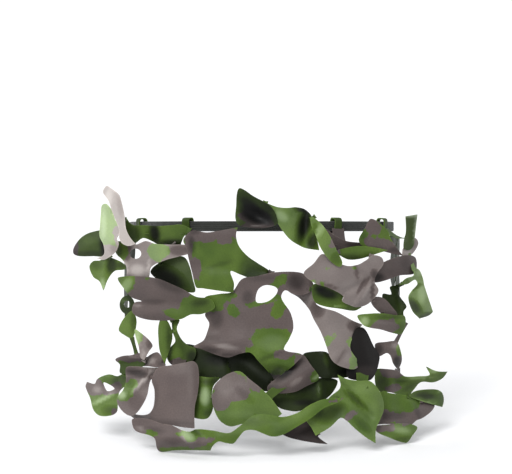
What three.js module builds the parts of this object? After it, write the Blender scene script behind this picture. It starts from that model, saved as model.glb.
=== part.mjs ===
// Leaf-cut camouflage face mask: an elastic head band carries a curtain of incised cloth leaves.
// The curtain is in four hinged parts: the front veil, its hem, and a curtain over each cheek.
// Millimetres, +Z up, the face looks along -Y, and the origin is the centre of the band's loop.
import * as THREE from "three";

// Driving dimensions
const BAND_HALF_WIDTH = 96;
const BAND_HALF_DEPTH = 104;
const BAND_THICKNESS = 1.5;
const BAND_HEIGHT = 7;
const BAND_FALL = 0.176; // fall of the loop for each millimetre towards the nape
const CLOTH = 1.6; // thickness that stands for the cloth and its crimp
const LAYER = 3; // step between one layer of leaves and the next
const CURTAIN_HALF_WIDTH = 128;
const CURTAIN_DEPTH = 107; // from the loop's centre to the innermost leaves at the nose
const CURTAIN_ROUND = 0.85; // share of the half width that is an ellipse, the rest is straight
const HEM_FLARE = 21; // how far the hem stands out past the nose
const HEM_WIDEN = 30; // how much wider to each side the hem's curve is than the band's
const HEM_DROP = 150;
const LAYOUT_TILT = THREE.MathUtils.degToRad(10); // lean of the plane the leaves are laid out on
const LONGEST_EDGE = 17; // of a triangle before the leaf is bent
const EAR_HALF_WIDTH = 101;
const EAR_HALF_DEPTH = 114;
const LOOP_WIDTH = 6;
const LOOP_WALL = 1.4;
const LOOP_CLEARANCE = 0.8;
const LAP_LENGTH = 24;

const GREEN = 0x5d8040;
const TAUPE = 0x756863;
const DARK = 0x2c3a26;
const ELASTIC = 0x23241f;

const TIP = 1; // marks an outline point that is a sharp tip

// The layout plane passes through the front of the band and leans back by LAYOUT_TILT.
const BAND_FRONT = new THREE.Vector3(0, -BAND_HALF_DEPTH, BAND_FALL * BAND_HALF_DEPTH);
const LAYOUT_UP = new THREE.Vector3(0, Math.sin(LAYOUT_TILT), Math.cos(LAYOUT_TILT));
const LAYOUT_OUT = new THREE.Vector3(0, -Math.cos(LAYOUT_TILT), Math.sin(LAYOUT_TILT));

// Share of the curtain's depth at a distance x from the middle: an ellipse with straight ends.
function roundness(x, halfWidth) {
  const edge = CURTAIN_ROUND * halfWidth;
  const inside = Math.min(Math.abs(x), edge) / halfWidth;
  const share = Math.sqrt(1 - inside * inside);
  const slope = inside / (halfWidth * share);
  return share - slope * Math.max(Math.abs(x) - edge, 0);
}

// Height of the innermost layer over the layout plane.
function curtainHeight(x, up) {
  const flare = Math.pow(Math.max(-up, 0) / HEM_DROP, 3);
  const halfWidth = CURTAIN_HALF_WIDTH + HEM_WIDEN * flare;
  const out = (CURTAIN_DEPTH + HEM_FLARE * flare) * roundness(x, halfWidth);
  return (out - BAND_HALF_DEPTH + up * Math.sin(LAYOUT_TILT)) / Math.cos(LAYOUT_TILT);
}

// A place on the curtain, from a point of the layout plane and a height over the innermost layer.
function onCurtain(x, up, height) {
  return BAND_FRONT.clone()
    .add(new THREE.Vector3(x, 0, 0))
    .addScaledVector(LAYOUT_UP, up)
    .addScaledVector(LAYOUT_OUT, curtainHeight(x, up) + height);
}

// A place over an ear, from a point of the side elevation: y towards the nape, z up.
function overEar(side) {
  return (y, z, height) => {
    const out = EAR_HALF_WIDTH * Math.sqrt(1 - (y / EAR_HALF_DEPTH) ** 2);
    return new THREE.Vector3(side * (out + height), y * side, z);
  };
}

// Splits every edge longer than LONGEST_EDGE at its middle until none is left.
function refine(points, triangles) {
  const middles = new Map();
  const middle = (a, b) => {
    if (points[a].distanceTo(points[b]) <= LONGEST_EDGE) return -1;
    const key = Math.min(a, b) + "," + Math.max(a, b);
    if (!middles.has(key)) {
      middles.set(key, points.length);
      points.push(points[a].clone().lerp(points[b], 0.5));
    }
    return middles.get(key);
  };
  const next = [];
  for (const [a, b, c] of triangles) {
    const mids = [middle(a, b), middle(b, c), middle(c, a)];
    next.push(...splitTriangle([a, b, c], mids, points));
  }
  return middles.size ? refine(points, next) : next;
}

// The triangles that replace one triangle whose edges ab, bc and ca are cut at mids, or not at -1.
function splitTriangle(corners, mids, points) {
  const cut = mids.filter((m) => m >= 0).length;
  if (cut === 0) return [corners];
  const turn = cut === 1 ? mids.findIndex((m) => m >= 0) : (mids.findIndex((m) => m < 0) + 1) % 3;
  const [a, b, c] = [0, 1, 2].map((k) => corners[(k + turn) % 3]);
  const [ab, bc, ca] = [0, 1, 2].map((k) => mids[(k + turn) % 3]);
  if (cut === 1) return [[a, ab, c], [ab, b, c]];
  if (cut === 3) return [[a, ab, ca], [ab, b, bc], [ca, bc, c], [ab, bc, ca]];
  const shorter = points[a].distanceTo(points[bc]) < points[ab].distanceTo(points[c]);
  return [[ab, b, bc], ...(shorter ? [[a, ab, bc], [a, bc, c]] : [[a, ab, c], [ab, bc, c]])];
}

// One closed body: the outline, filled, placed by a mapping at two heights and joined at its edges.
function clothGeometry(outline, hole, place, height) {
  const shape = new THREE.Shape(outline.map(([x, up]) => new THREE.Vector2(x, up)));
  if (hole) shape.holes.push(new THREE.Path(hole.map(([x, up]) => new THREE.Vector2(x, up))));
  const flat = new THREE.ShapeGeometry(shape);
  const position = flat.getAttribute("position");
  const points = [];
  for (let i = 0; i < position.count; i++) {
    points.push(new THREE.Vector2(position.getX(i), position.getY(i)));
  }
  const corners = Array.from(flat.index.array);
  const filled = [];
  for (let i = 0; i < corners.length; i += 3) filled.push(corners.slice(i, i + 3));
  const triangles = refine(points, filled);

  const count = points.length;
  const outer = points.map((p) => place(p.x, p.y, height + CLOTH / 2));
  const inner = points.map((p) => place(p.x, p.y, height - CLOTH / 2));
  const index = [];
  const edges = new Set(triangles.flatMap(([a, b, c]) => [a + "," + b, b + "," + c, c + "," + a]));
  for (const [a, b, c] of triangles) {
    index.push(a, b, c, count + c, count + b, count + a);
    for (const [from, to] of [[a, b], [b, c], [c, a]]) {
      if (edges.has(to + "," + from)) continue;
      index.push(from, count + from, to, to, count + from, count + to);
    }
  }
  return new THREE.BufferGeometry().setFromPoints([...outer, ...inner]).setIndex(index);
}

function cloth(name, colour, outline, hole, place, height) {
  const geometry = clothGeometry(outline, hole, place, height);
  const mesh = new THREE.Mesh(geometry, material(colour));
  mesh.name = name;
  return mesh;
}

function material(color) {
  return new THREE.MeshStandardMaterial({ color, roughness: 0.62, metalness: 0 });
}

// A leaf of the curtain, on its layer counted outwards from the face.
function leaf(name, layer, colour, outline, hole) {
  return cloth(name, colour, outline, hole, onCurtain, layer * LAYER);
}

function oval(x, up, halfWidth, halfHeight, count = 8) {
  return Array.from({ length: count }, (_, i) => {
    const angle = (2 * Math.PI * i) / count;
    return [x + halfWidth * Math.cos(angle), up + halfHeight * Math.sin(angle)];
  });
}

// The place on the band's middle line at a distance x from the middle of the face.
function onBand(x) {
  const y = -BAND_HALF_DEPTH * Math.sqrt(1 - (x / BAND_HALF_WIDTH) ** 2);
  return new THREE.Vector3(x, y, -BAND_FALL * y);
}

function headBand() {
  const grow = BAND_THICKNESS / 2;
  const ring = new THREE.Shape();
  ring.absellipse(0, 0, BAND_HALF_WIDTH + grow, BAND_HALF_DEPTH + grow, 0, 2 * Math.PI);
  const inside = new THREE.Path();
  inside.absellipse(0, 0, BAND_HALF_WIDTH - grow, BAND_HALF_DEPTH - grow, 0, 2 * Math.PI);
  ring.holes.push(inside);
  const geometry = new THREE.ExtrudeGeometry(ring, {
    depth: BAND_HEIGHT,
    bevelEnabled: false,
    curveSegments: 28,
  });
  geometry.translate(0, 0, -BAND_HEIGHT / 2);
  geometry.applyMatrix4(new THREE.Matrix4().makeShear(0, 0, 0, -BAND_FALL, 0, 0));
  const mesh = new THREE.Mesh(geometry, material(ELASTIC));
  mesh.name = "head_band";
  return mesh;
}

// The band's end, lapped over its outside at the nape and sewn down.
function bandLap() {
  const geometry = new THREE.BoxGeometry(LAP_LENGTH, BAND_THICKNESS, BAND_HEIGHT);
  const mesh = new THREE.Mesh(geometry, material(ELASTIC));
  mesh.name = "band_lap";
  const y = BAND_HALF_DEPTH + BAND_THICKNESS + 0.4;
  mesh.position.set(0, y, -BAND_FALL * y);
  return mesh;
}

// A cloth loop that the band runs through: the curtain hangs from these.
function bandLoop(name, x) {
  const halfDeep = BAND_THICKNESS / 2 + LOOP_CLEARANCE;
  const halfTall = BAND_HEIGHT / 2 + LOOP_CLEARANCE;
  const wall = rectangle(new THREE.Shape(), halfDeep + LOOP_WALL, halfTall + LOOP_WALL);
  wall.holes.push(rectangle(new THREE.Path(), halfDeep, halfTall));
  const geometry = new THREE.ExtrudeGeometry(wall, { depth: LOOP_WIDTH, bevelEnabled: false });
  geometry.translate(0, 0, -LOOP_WIDTH / 2);
  const place = onBand(x);
  const along = onBand(x + 1).sub(onBand(x - 1)).normalize();
  const up = new THREE.Vector3(0, 0, 1).addScaledVector(along, -along.z).normalize();
  const out = new THREE.Vector3().crossVectors(up, along);
  const mesh = new THREE.Mesh(geometry, material(GREEN));
  mesh.name = name;
  mesh.position.copy(place);
  mesh.setRotationFromMatrix(new THREE.Matrix4().makeBasis(out, up, along));
  return mesh;
}

function rectangle(path, halfWidth, halfHeight) {
  path.moveTo(-halfWidth, -halfHeight);
  path.lineTo(halfWidth, -halfHeight);
  path.lineTo(halfWidth, halfHeight);
  path.lineTo(-halfWidth, halfHeight);
  path.closePath();
  return path;
}

function earLeaf(name, side, colour, outline) {
  return cloth(name, colour, outline, null, overEar(side), 0);
}

function group(...pieces) {
  const made = new THREE.Group();
  made.add(...pieces);
  return made;
}

// Band, loops and the two leaves sewn straight to the band over the ears
const harness = group(
  headBand(),
  bandLap(),
  bandLoop("band_loop_left_ear", -86),
  bandLoop("band_loop_left_cheek", -52),
  bandLoop("band_loop_right_cheek", 52),
  bandLoop("band_loop_right_ear", 86),
  earLeaf("left_ear_backing", -1, DARK, [
    [-44, -2], [-38, -30], [-30, -52], [-20, -66, TIP], [-12, -50], [0, -44], [14, -58], [24, -64],
    [30, -48], [28, -26], [34, -10], [30, -4], [0, -9], [-30, -12],
  ]),
  earLeaf("right_ear_backing", 1, DARK, [
    [-34, -10], [-32, -34], [-24, -54], [-12, -66], [-4, -58], [4, -42], [16, -40], [28, -56, TIP],
    [36, -38], [34, -18], [36, -13], [0, -9], [-20, -4],
  ]),
);

// Left cheek curtain
const leftCurtain = group(
  leaf("left_ear_petal", 6, TAUPE, [
    [-112, 27], [-113, 24], [-109, 18], [-106, 10], [-103, 3], [-101, -3], [-101, -8], [-99, -12],
    [-94, -14], [-89, -12.5, TIP], [-93, -8], [-96, -2], [-97, 7], [-99, 16], [-101, 22],
    [-106, 26], [-110, 28.5],
  ]),
  leaf("left_ear_lobe", 5, GREEN, [
    [-114, 15], [-111, 16], [-107, 11.5], [-104, 4], [-100, -3], [-103, -9], [-101.5, -12],
    [-103, -17], [-107, -21], [-113, -24], [-118, -23, TIP], [-112.5, -20], [-113, -13],
    [-116, -7], [-115.5, 2], [-115, 8],
  ]),
  leaf("left_wing_leaf", 3, GREEN, [
    [-136.5, -17], [-134, -12], [-129, -7], [-122, -4], [-114, -3.5], [-111, -12], [-112.5, -21],
    [-121, -21.5], [-132, -21.5], [-136, -20],
  ]),
  leaf("left_ear_drop", 4, GREEN, [
    [-124, -29], [-121, -25], [-116, -24.5], [-111, -22], [-106, -23], [-98, -27], [-97, -30.5],
    [-105, -32], [-110, -38], [-113.5, -46, TIP], [-116.5, -39.5], [-121, -36.5],
  ]),
  leaf("left_cheek_strip", 2, GREEN, [
    [-97, 6], [-92, 1], [-83, 0.5], [-73, 0], [-64, 0.5], [-57, 1], [-50.5, -1.5, TIP], [-55, -8],
    [-57, -13, TIP], [-65, -13.5], [-72, -13.5], [-78, -10.5], [-84, -8.5], [-90, -12], [-94, -7],
    [-97, -1],
  ]),
  leaf("left_cheek_trunk", 3, TAUPE, [
    [-103, -11], [-95, -12], [-89, -13], [-82, -10.5], [-75, -12.5], [-65, -13], [-55, -13],
    [-50, -14], [-51, -19], [-57, -21], [-68, -24], [-78, -29], [-82, -34.5], [-95, -35],
    [-96, -29], [-99, -24], [-104, -19],
  ], oval(-89.5, -19.5, 4.2, 3.6)),
  leaf("left_cheek_under_leaf", 1, DARK, [
    [-69, -24], [-62, -21], [-54.5, -22], [-51, -28], [-48.5, -38], [-47, -45], [-52, -44.5],
    [-62, -39], [-72, -33], [-77, -30],
  ]),
  leaf("left_jaw_drop", 3, GREEN, [
    [-92, -60], [-97, -64], [-101, -70], [-102, -74.5], [-97, -78], [-92, -80.5, TIP],
    [-89.5, -73], [-89, -66],
  ]),
  leaf("left_jaw_ring", 2, DARK, oval(-96, -56, 5.5, 6.5), oval(-96, -55.5, 2.6, 2.6, 6)),
  leaf("left_hem_cup", 4, GREEN, [
    [-104.5, -95], [-100, -92.5], [-93, -91.5], [-85.5, -90], [-82, -94], [-84, -99], [-92, -101],
    [-97, -105], [-101, -104], [-101, -98.5],
  ]),
  leaf("left_hem_leaf", 3, GREEN, [
    [-127, -115.5], [-126, -112, TIP], [-120, -113], [-118.5, -110], [-114.5, -107.5],
    [-109, -106], [-103, -107], [-96.5, -104], [-95, -111], [-101, -117], [-102.5, -124],
    [-103, -131.5], [-107.5, -134.5], [-115.5, -135], [-120, -131.5], [-123, -123.5],
  ], [[-113.5, -111.5], [-105, -115.5], [-110.5, -117.5]]),
);

// Right cheek curtain
const rightCurtain = group(
  leaf("right_ear_leaf", 4, DARK, [
    [102, 7, TIP], [111, 8.5, TIP], [110, 1], [109, -8], [108, -14], [105, -17], [101, -16],
    [101, -10], [102.5, -4],
  ]),
  leaf("right_ear_curl", 3, TAUPE, [
    [107, -9], [110, -8.5], [112, -12], [110, -16.5], [106, -20.5], [99.5, -21, TIP],
    [100.5, -15.5], [105, -13],
  ]),
  leaf("right_hanging_leaf", 7, GREEN, [
    [108, -30], [112, -31], [115, -37], [116, -42], [123, -61.5, TIP], [120, -64],
    [112.5, -66, TIP], [107, -60], [104, -50.5], [106.5, -46], [111, -41], [109, -38], [103, -41],
    [97, -41.5, TIP], [102, -37], [108, -35],
  ]),
  leaf("right_jaw_leaf", 1, DARK, [
    [91, -43], [98, -43], [97, -48], [99, -51], [103.5, -57.5], [101, -61], [102.5, -70, TIP],
    [97, -64], [90, -58], [86, -53], [86, -48], [92, -48.5],
  ]),
  leaf("right_neck_curl", 2, TAUPE, [
    [80, -83.5], [88, -82], [95.5, -82], [98.5, -87.5], [100, -96], [97.5, -103, TIP],
    [93.5, -97.5], [91.5, -92], [88.5, -90], [83, -92],
  ]),
  leaf("right_hem_upper_leaf", 1, GREEN, [
    [81, -102], [89, -101.5], [96.5, -103], [102, -107], [112, -107.5], [121, -107],
    [118.5, -101, TIP], [126, -104.5], [135, -105.5, TIP], [131, -110], [124, -112.5],
    [114, -112], [108, -117.5], [104, -121], [92, -118], [82, -116],
  ]),
  leaf("right_hem_curl", 3, GREEN, [
    [105, -121], [109, -118], [117, -117], [126, -117.5], [130, -120], [131.5, -125],
    [130, -130, TIP], [124, -128], [115, -125],
  ]),
  leaf("right_hem_mid_leaf", 2, TAUPE, [
    [84, -117], [91, -118.5], [105, -121], [116, -125], [124, -128], [122, -132], [115, -136.5],
    [110, -138], [106, -141], [98, -140], [86, -139.5], [79, -139], [82, -128],
  ]),
  leaf("right_hem_low_leaf", 3, GREEN, [
    [80, -141], [89, -140], [98.5, -139.5], [106, -140.5], [110.5, -143], [106.5, -148.5],
    [103, -153.5], [97.5, -152.5], [90.5, -149.5], [81, -145],
  ]),
);

// Front veil, from the nose to the chin
const frontVeil = group(
  leaf("nose_leaf", 6, DARK, [
    [-17.5, 22], [-16, 26], [-12.5, 25], [-6, 20.5], [1.5, 16.5], [6.5, 13], [10, 6.5], [10, 1],
    [0, -1.5], [-10, -1], [-16, 0.5], [-18.5, 5], [-18, 14],
  ]),
  leaf("right_nose_twist", 5, GREEN, [
    [2, 16], [11, 13], [18, 12.5], [24, 13], [30, 11.5], [34.5, 6.5], [35, 0], [38, -8],
    [40, -17, TIP], [33, -16], [27, -14], [19, -9], [12, 0], [9, 6], [6, 12],
  ]),
  leaf("right_cheek_tongue", 8, GREEN, [
    [34, 6.5], [41, 1.5], [46.5, -6], [52, -17], [56, -25.5], [54.5, -28.5], [50, -26.5],
    [44.5, -21], [40, -14], [37, -6], [34, 1],
  ]),
  leaf("left_nose_leaf", 5, GREEN, [
    [-55, -10], [-51.5, -5], [-48, -3], [-39, -4.5], [-31, -3.5], [-17, -1, TIP], [-18, -7],
    [-16, -14], [-10, -21], [-3, -26], [6, -32.5], [4, -36], [-8, -36.5], [-15, -34], [-22, -31.5],
    [-19.5, -40], [-20, -46.5, TIP], [-28, -45.5], [-42, -43.5], [-46, -43], [-49, -32],
    [-51.5, -22], [-53, -15],
  ]),
  leaf("right_cheek_patch", 3, TAUPE, [
    [44, -2], [50, -6], [59, -10.5], [70, -12], [76, -14], [70, -17], [58, -17], [51, -18],
    [47, -9],
  ]),
  leaf("right_cheek_spindle", 5, GREEN, [
    [51, -18], [60, -15], [69, -14], [79, -15], [89, -17, TIP], [79, -20], [69, -23],
    [60.5, -23.5], [55, -21],
  ]),
  leaf("right_ear_triangle", 4, GREEN, [
    [76, 5], [80, 4], [84, 1], [89, -4], [91, -9], [95, -15], [100, -21, TIP], [90, -19],
    [79, -16], [70, -13.5], [68, -9.5], [72, -2],
  ]),
  leaf("right_big_leaf", 7, TAUPE, [
    [42, -19.5], [50, -24], [55, -26.5], [61, -28], [67, -27], [73, -24], [78, -20.5], [84, -22],
    [85.5, -26.5], [81, -33], [79, -39], [82, -45], [79.5, -50], [74, -55], [67, -57],
    [60.5, -55], [56, -52.5], [57, -49], [46, -43], [37, -40], [29, -33], [36, -26],
  ]),
  leaf("right_cheek_band", 6, TAUPE, [
    [85, -26], [89, -24], [97, -21.5], [104, -20.5], [109, -22], [110.5, -27], [109, -33.5],
    [97, -35], [88, -38], [79, -39.5], [77, -35], [80, -30],
  ]),
  leaf("left_jaw_leaf", 5, TAUPE, [
    [-102.5, -37], [-96, -35.5], [-83, -35.5], [-73, -37], [-64, -40.5], [-55, -44.5],
    [-46, -49.5], [-36, -51], [-33, -57], [-42, -61.5], [-50, -62], [-56, -65], [-62, -66],
    [-72, -66.5], [-81, -66], [-89, -63.5], [-92, -60], [-90, -54], [-85, -53], [-92, -50.5],
    [-98, -44],
  ]),
  leaf("mouth_panel", 4, TAUPE, [
    [-40, -50], [-30, -47.5], [-21, -46], [-14, -37], [-4, -35], [8, -32.5], [22, -32], [30, -34],
    [36, -41], [32, -47], [24, -48], [16, -45], [13.5, -50], [20, -61], [22, -71], [19, -79],
    [15.5, -86.5], [28, -90], [24, -95.5], [17, -102], [8.7, -109, TIP], [4, -102], [-2.5, -94.5],
    [-8, -88.5], [-14.5, -89], [-24, -92], [-34, -89.5], [-43, -86], [-48, -84.5], [-41, -80],
    [-38, -73], [-37, -68], [-40, -62], [-36, -56],
  ], [[-4, -53], [-3, -45], [1.5, -41.5], [8, -42], [11, -44.5], [9, -49], [3, -53]]),
  leaf("chin_tongue", 5, TAUPE, [
    [22, -36], [30, -38], [37, -48], [38, -55], [52, -60], [64, -66.5], [71, -69.5, TIP],
    [67, -74], [63, -80], [62, -86], [66, -92.5], [69, -97], [65, -100.5], [57, -99], [51, -96],
    [47.5, -91.5], [45, -84], [41, -74], [36, -65], [33, -58.5], [26, -50.5], [18, -45],
  ]),
  leaf("chin_green_leaf", 6, GREEN, [
    [35.5, -41], [44.5, -41], [57, -48], [56, -52.5], [61, -55], [70, -57, TIP], [65, -59.5],
    [55, -58], [43, -56], [37, -53], [35, -47],
  ]),
  leaf("right_chin_leaf", 6, GREEN, [
    [67, -63], [75, -61.5], [85, -61.5], [95, -63], [101, -63.5], [102, -69], [99, -76.5],
    [92, -75.5], [84, -73], [76, -71.5], [71, -69.5],
  ]),
  leaf("right_jaw_patch", 5, TAUPE, [
    [77, -54], [80, -50], [86, -51], [92, -57], [96, -63], [85, -62],
  ]),
  leaf("right_chin_under_leaf", 4, DARK, [
    [66, -72], [72, -72], [79, -85], [83, -91], [82.5, -97], [80, -104], [76, -108.5],
    [67, -108.5], [60, -106], [60, -97], [61, -86],
  ]),
  leaf("left_jaw_twist", 5, TAUPE, [
    [-90, -73], [-86, -75], [-80, -80], [-77, -84.5], [-79.5, -88], [-83, -94.5, TIP],
    [-85.5, -93], [-87, -85], [-89, -79],
  ]),
  leaf("left_jaw_spindle", 4, GREEN, [
    [-71, -65], [-67, -66], [-63.5, -73], [-63, -79], [-65, -87], [-68.5, -97, TIP], [-72, -88],
    [-73, -79], [-73, -71],
  ]),
  leaf("left_chin_strip", 2, GREEN, [
    [-63, -66], [-58, -66], [-60, -72], [-57, -79], [-52, -84], [-47, -86], [-47, -92],
    [-52, -97], [-63, -98], [-67, -93], [-65, -86], [-61, -81], [-63, -74],
  ]),
  leaf("left_hem_strip", 3, TAUPE, [
    [-74, -89], [-80.5, -92], [-86, -98.5], [-80, -99], [-73, -99.5], [-68, -98], [-71, -92],
  ]),
  leaf("chin_under_band", 1, DARK, [
    [-56, -84], [-47, -84], [-34, -88], [-22, -91], [-21.5, -97], [-22, -106], [-34, -107],
    [-46, -106], [-56, -98],
  ]),
  leaf("chin_under_leaf", 0, DARK, [
    [-22, -90], [-12, -87], [-5, -89], [2, -98], [8, -107], [10, -114], [2, -114], [-8, -107],
    [-16, -102], [-24, -104],
  ]),
  leaf("chin_roll", 2, TAUPE, [
    [28, -90], [34, -97], [40, -107], [31, -112.5], [22, -116.5], [5, -116.5], [4, -112],
    [14, -104], [22, -97],
  ]),
  leaf("chin_right_under_leaf", 1, DARK, [
    [29, -90], [40, -88], [46, -89], [52, -96], [60, -99], [66, -101], [62, -106], [50, -107],
    [40, -106], [34, -97],
  ]),
  leaf("hem_under_leaf", 0, DARK, [
    [4, -117], [22, -116], [31, -112], [40, -107], [53, -108.5], [52, -114], [46, -121],
    [34, -126], [26, -130], [16, -129], [10, -126],
  ]),
);

// Hem of the front veil
const frontHem = group(
  leaf("left_hem_petal", 7, TAUPE, [
    [-96, -100], [-90, -99], [-80, -99.5], [-73, -100, TIP], [-78.5, -109], [-80.5, -118],
    [-84, -125.5], [-89, -132], [-93, -133.5], [-98, -131], [-102, -126], [-102.5, -121.5],
    [-98, -115.5], [-96, -109],
  ]),
  leaf("left_hem_panel", 6, TAUPE, [
    [-73, -99.5], [-64, -97.5], [-54, -95.5], [-48, -94.5], [-45, -97.5], [-44, -107],
    [-45, -117], [-47, -127], [-47, -141, TIP], [-54, -140.5], [-64, -139], [-76, -138],
    [-90, -137], [-95, -134], [-84, -133.5], [-79, -131.5], [-76, -126], [-75.5, -115],
    [-77.5, -108],
  ]),
  leaf("left_hem_curl", 4, GREEN, [
    [-45, -105], [-37, -106], [-29.5, -106.5], [-34, -112], [-35, -119], [-34, -126.5],
    [-37.5, -134], [-43, -135], [-47, -133], [-46.5, -125], [-45, -117],
  ]),
  leaf("centre_hem_round", 5, GREEN, [
    [-15.5, -101.5], [-22, -102.5], [-28, -106], [-33.5, -112], [-35, -119], [-34, -126.5],
    [-30.5, -134.5], [-26, -138.5], [-21.5, -140], [-15.5, -138.5], [-5, -136], [6, -136],
    [14, -131, TIP], [7, -121], [-1, -113], [-8.5, -107],
  ]),
  leaf("front_hem_ribbon", 8, GREEN, [
    [-91, -135.5], [-80, -135], [-70, -138], [-63, -139], [-56, -142], [-50, -143], [-46, -141.5],
    [-34, -142], [-23, -143.5], [-15, -138.5], [-6, -131.5], [4, -131], [14, -132.5], [24, -130],
    [34, -124], [43.5, -120.5], [57, -120, TIP], [53, -123], [43.5, -126.5], [34, -133.5],
    [24, -139.5], [14, -145], [7, -146], [1, -144], [-5.5, -141.5], [-12, -142], [-16.5, -147],
    [-20, -151], [-25.5, -150.5], [-30, -149.5], [-34, -152.5], [-36, -156.5, TIP],
    [-48, -156.5], [-61, -157], [-71, -158.5], [-73.5, -156.5], [-75.5, -148], [-88, -144],
    [-90.5, -141],
  ]),
  leaf("right_hem_star", 6, GREEN, [
    [53, -104, TIP], [59, -107], [68, -108.5], [76, -109], [82, -115], [85.5, -123],
    [85.5, -130], [83, -136], [80, -142.5], [79.5, -152, TIP], [73, -148], [66, -142.5],
    [59, -136], [55, -134], [47.5, -140.5], [37.5, -146, TIP], [34.5, -140.5], [31, -134.5],
    [39, -128], [48, -119], [55, -113],
  ]),
  leaf("centre_hem_under_leaf", 3, DARK, [
    [12, -143], [22, -138], [31, -134], [36, -141], [39, -147], [46, -152.5, TIP], [37, -151.5],
    [24, -149], [16, -146.5],
  ]),
);

export default group(harness, leftCurtain, rightCurtain, frontVeil, frontHem);
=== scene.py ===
import math

import bpy
from mathutils import Matrix, Vector, noise
from mathutils.geometry import delaunay_2d_cdt


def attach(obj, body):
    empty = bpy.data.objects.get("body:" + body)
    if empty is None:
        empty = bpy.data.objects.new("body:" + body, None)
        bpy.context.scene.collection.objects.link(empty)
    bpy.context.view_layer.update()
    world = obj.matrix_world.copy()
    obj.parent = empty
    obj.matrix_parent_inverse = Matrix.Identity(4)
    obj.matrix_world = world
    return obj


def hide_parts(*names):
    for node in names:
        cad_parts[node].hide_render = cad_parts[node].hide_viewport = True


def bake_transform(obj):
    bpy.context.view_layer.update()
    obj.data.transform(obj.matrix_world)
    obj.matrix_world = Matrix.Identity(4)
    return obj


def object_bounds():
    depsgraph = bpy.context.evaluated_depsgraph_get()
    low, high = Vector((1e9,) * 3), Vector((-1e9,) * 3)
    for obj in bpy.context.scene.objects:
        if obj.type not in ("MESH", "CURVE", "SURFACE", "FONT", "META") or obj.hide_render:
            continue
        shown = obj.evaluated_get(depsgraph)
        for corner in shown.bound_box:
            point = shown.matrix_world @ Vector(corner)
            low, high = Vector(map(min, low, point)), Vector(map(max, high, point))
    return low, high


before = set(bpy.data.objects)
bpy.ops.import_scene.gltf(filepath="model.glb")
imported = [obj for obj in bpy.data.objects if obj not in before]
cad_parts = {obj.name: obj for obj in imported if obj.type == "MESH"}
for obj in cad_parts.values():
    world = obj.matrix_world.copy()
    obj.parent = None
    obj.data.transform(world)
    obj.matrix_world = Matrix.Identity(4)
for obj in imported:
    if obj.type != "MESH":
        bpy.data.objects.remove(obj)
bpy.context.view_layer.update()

scene = bpy.context.scene
collection = scene.collection

# All outlines are in millimetres; meshes are made in metres.
MM = 0.001
TIP = "tip"

# The band and the curtain that hangs from it, as the frame has them
BAND_HALF_WIDTH = 96.0
BAND_HALF_DEPTH = 104.0
BAND_THICKNESS = 1.5
BAND_HEIGHT = 7.0
BAND_FALL = 0.176  # fall of the band for each millimetre towards the nape
LAP_LENGTH = 24.0
CURTAIN_HALF_WIDTH = 128.0
CURTAIN_DEPTH = 107.0
CURTAIN_ROUND = 0.85
HEM_FLARE = 21.0
HEM_WIDEN = 30.0
HEM_DROP = 150.0
LAYER = 3.0
EAR_HALF_WIDTH = 101.0
EAR_HALF_DEPTH = 114.0
LAYOUT_TILT = math.radians(10)

# The plane on which the leaves are laid out: it leans back, through the band's front.
ORIGIN = Vector((0, -BAND_HALF_DEPTH, BAND_FALL * BAND_HALF_DEPTH))
ACROSS = Vector((1, 0, 0))
UP = Vector((0, math.sin(LAYOUT_TILT), math.cos(LAYOUT_TILT)))
OUT = Vector((0, -math.cos(LAYOUT_TILT), math.sin(LAYOUT_TILT)))

# Cloth
CLOTH = 0.4  # thickness of the sheet
OUTLINE_STEP = 1.3
FILL_STEP = 2.0
HEX_ROW = 0.866  # spacing of the filling's rows, as a share of its step
RIM_CLEARANCE = 0.62  # the filling's distance from the outline, as a share of its step
DRIFT = 1.84  # height of the slow waves that every leaf has
CREASE = 0.224  # height of the small waves
DRIFT_LENGTH = 24
CREASE_LENGTH = 8
SEEDS = 977  # how many different patterns of waves there are
CREASE_SEED = 50  # keeps the small waves apart from the slow ones
RELIEF = 1.3  # how strongly folds and swellings stand out
STEEPEST = 0.86  # how far round a roll goes before it runs straight, as a share of its radius
FAR_FROM_PRINT = 9.0  # distance to the other colour where a leaf has no patches
# The ovals of darker and paler in the leaves are painted shade and painted light; these two set their
# size.
SHADING_REACH = 1.15  # where a darker or paler oval ends, as a share of its radii
SHADING_FADE = 0.8  # and the width over which it fades


def roundness(x, half_width):
    """Height of an oval at x, from 0 to 1, which runs straight on beyond CURTAIN_ROUND."""
    edge = CURTAIN_ROUND * half_width
    inside = min(abs(x), edge) / half_width
    share = math.sqrt(1 - inside * inside)
    slope = inside / (half_width * share)
    return share - slope * max(abs(x) - edge, 0)


def on_curtain(u, v, h):
    """A point of the curtain, in metres, from its place on the layout plane and its layer."""
    flare = (max(-v, 0) / HEM_DROP) ** 3
    half_width = CURTAIN_HALF_WIDTH + HEM_WIDEN * flare
    out = (CURTAIN_DEPTH + HEM_FLARE * flare) * roundness(u, half_width)
    height = (out - BAND_HALF_DEPTH + v * math.sin(LAYOUT_TILT)) / math.cos(LAYOUT_TILT) + h
    return (ORIGIN + ACROSS * u + UP * v + OUT * height) * MM


def over_ear(side):
    """The same for the leaves over an ear, which are laid out from the side."""
    def place(along, up, h):
        x = side * (EAR_HALF_WIDTH * math.sqrt(1 - (along / EAR_HALF_DEPTH) ** 2) + h)
        return Vector((x, along * side, up)) * MM
    return place


def oval(u, v, half_width, half_height, count=20):
    angles = [2 * math.pi * i / count for i in range(count)]
    return [(u + half_width * math.cos(a), v + half_height * math.sin(a)) for a in angles]


# Outlines and their filling

def path(text):
    """Points from text such as "-12,3.5 4,8!", where ! marks a sharp corner."""
    points = []
    for word in text.split():
        u, v = word.rstrip("!").split(",")
        points.append((float(u), float(v), TIP) if word.endswith("!") else (float(u), float(v)))
    return points


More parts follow.
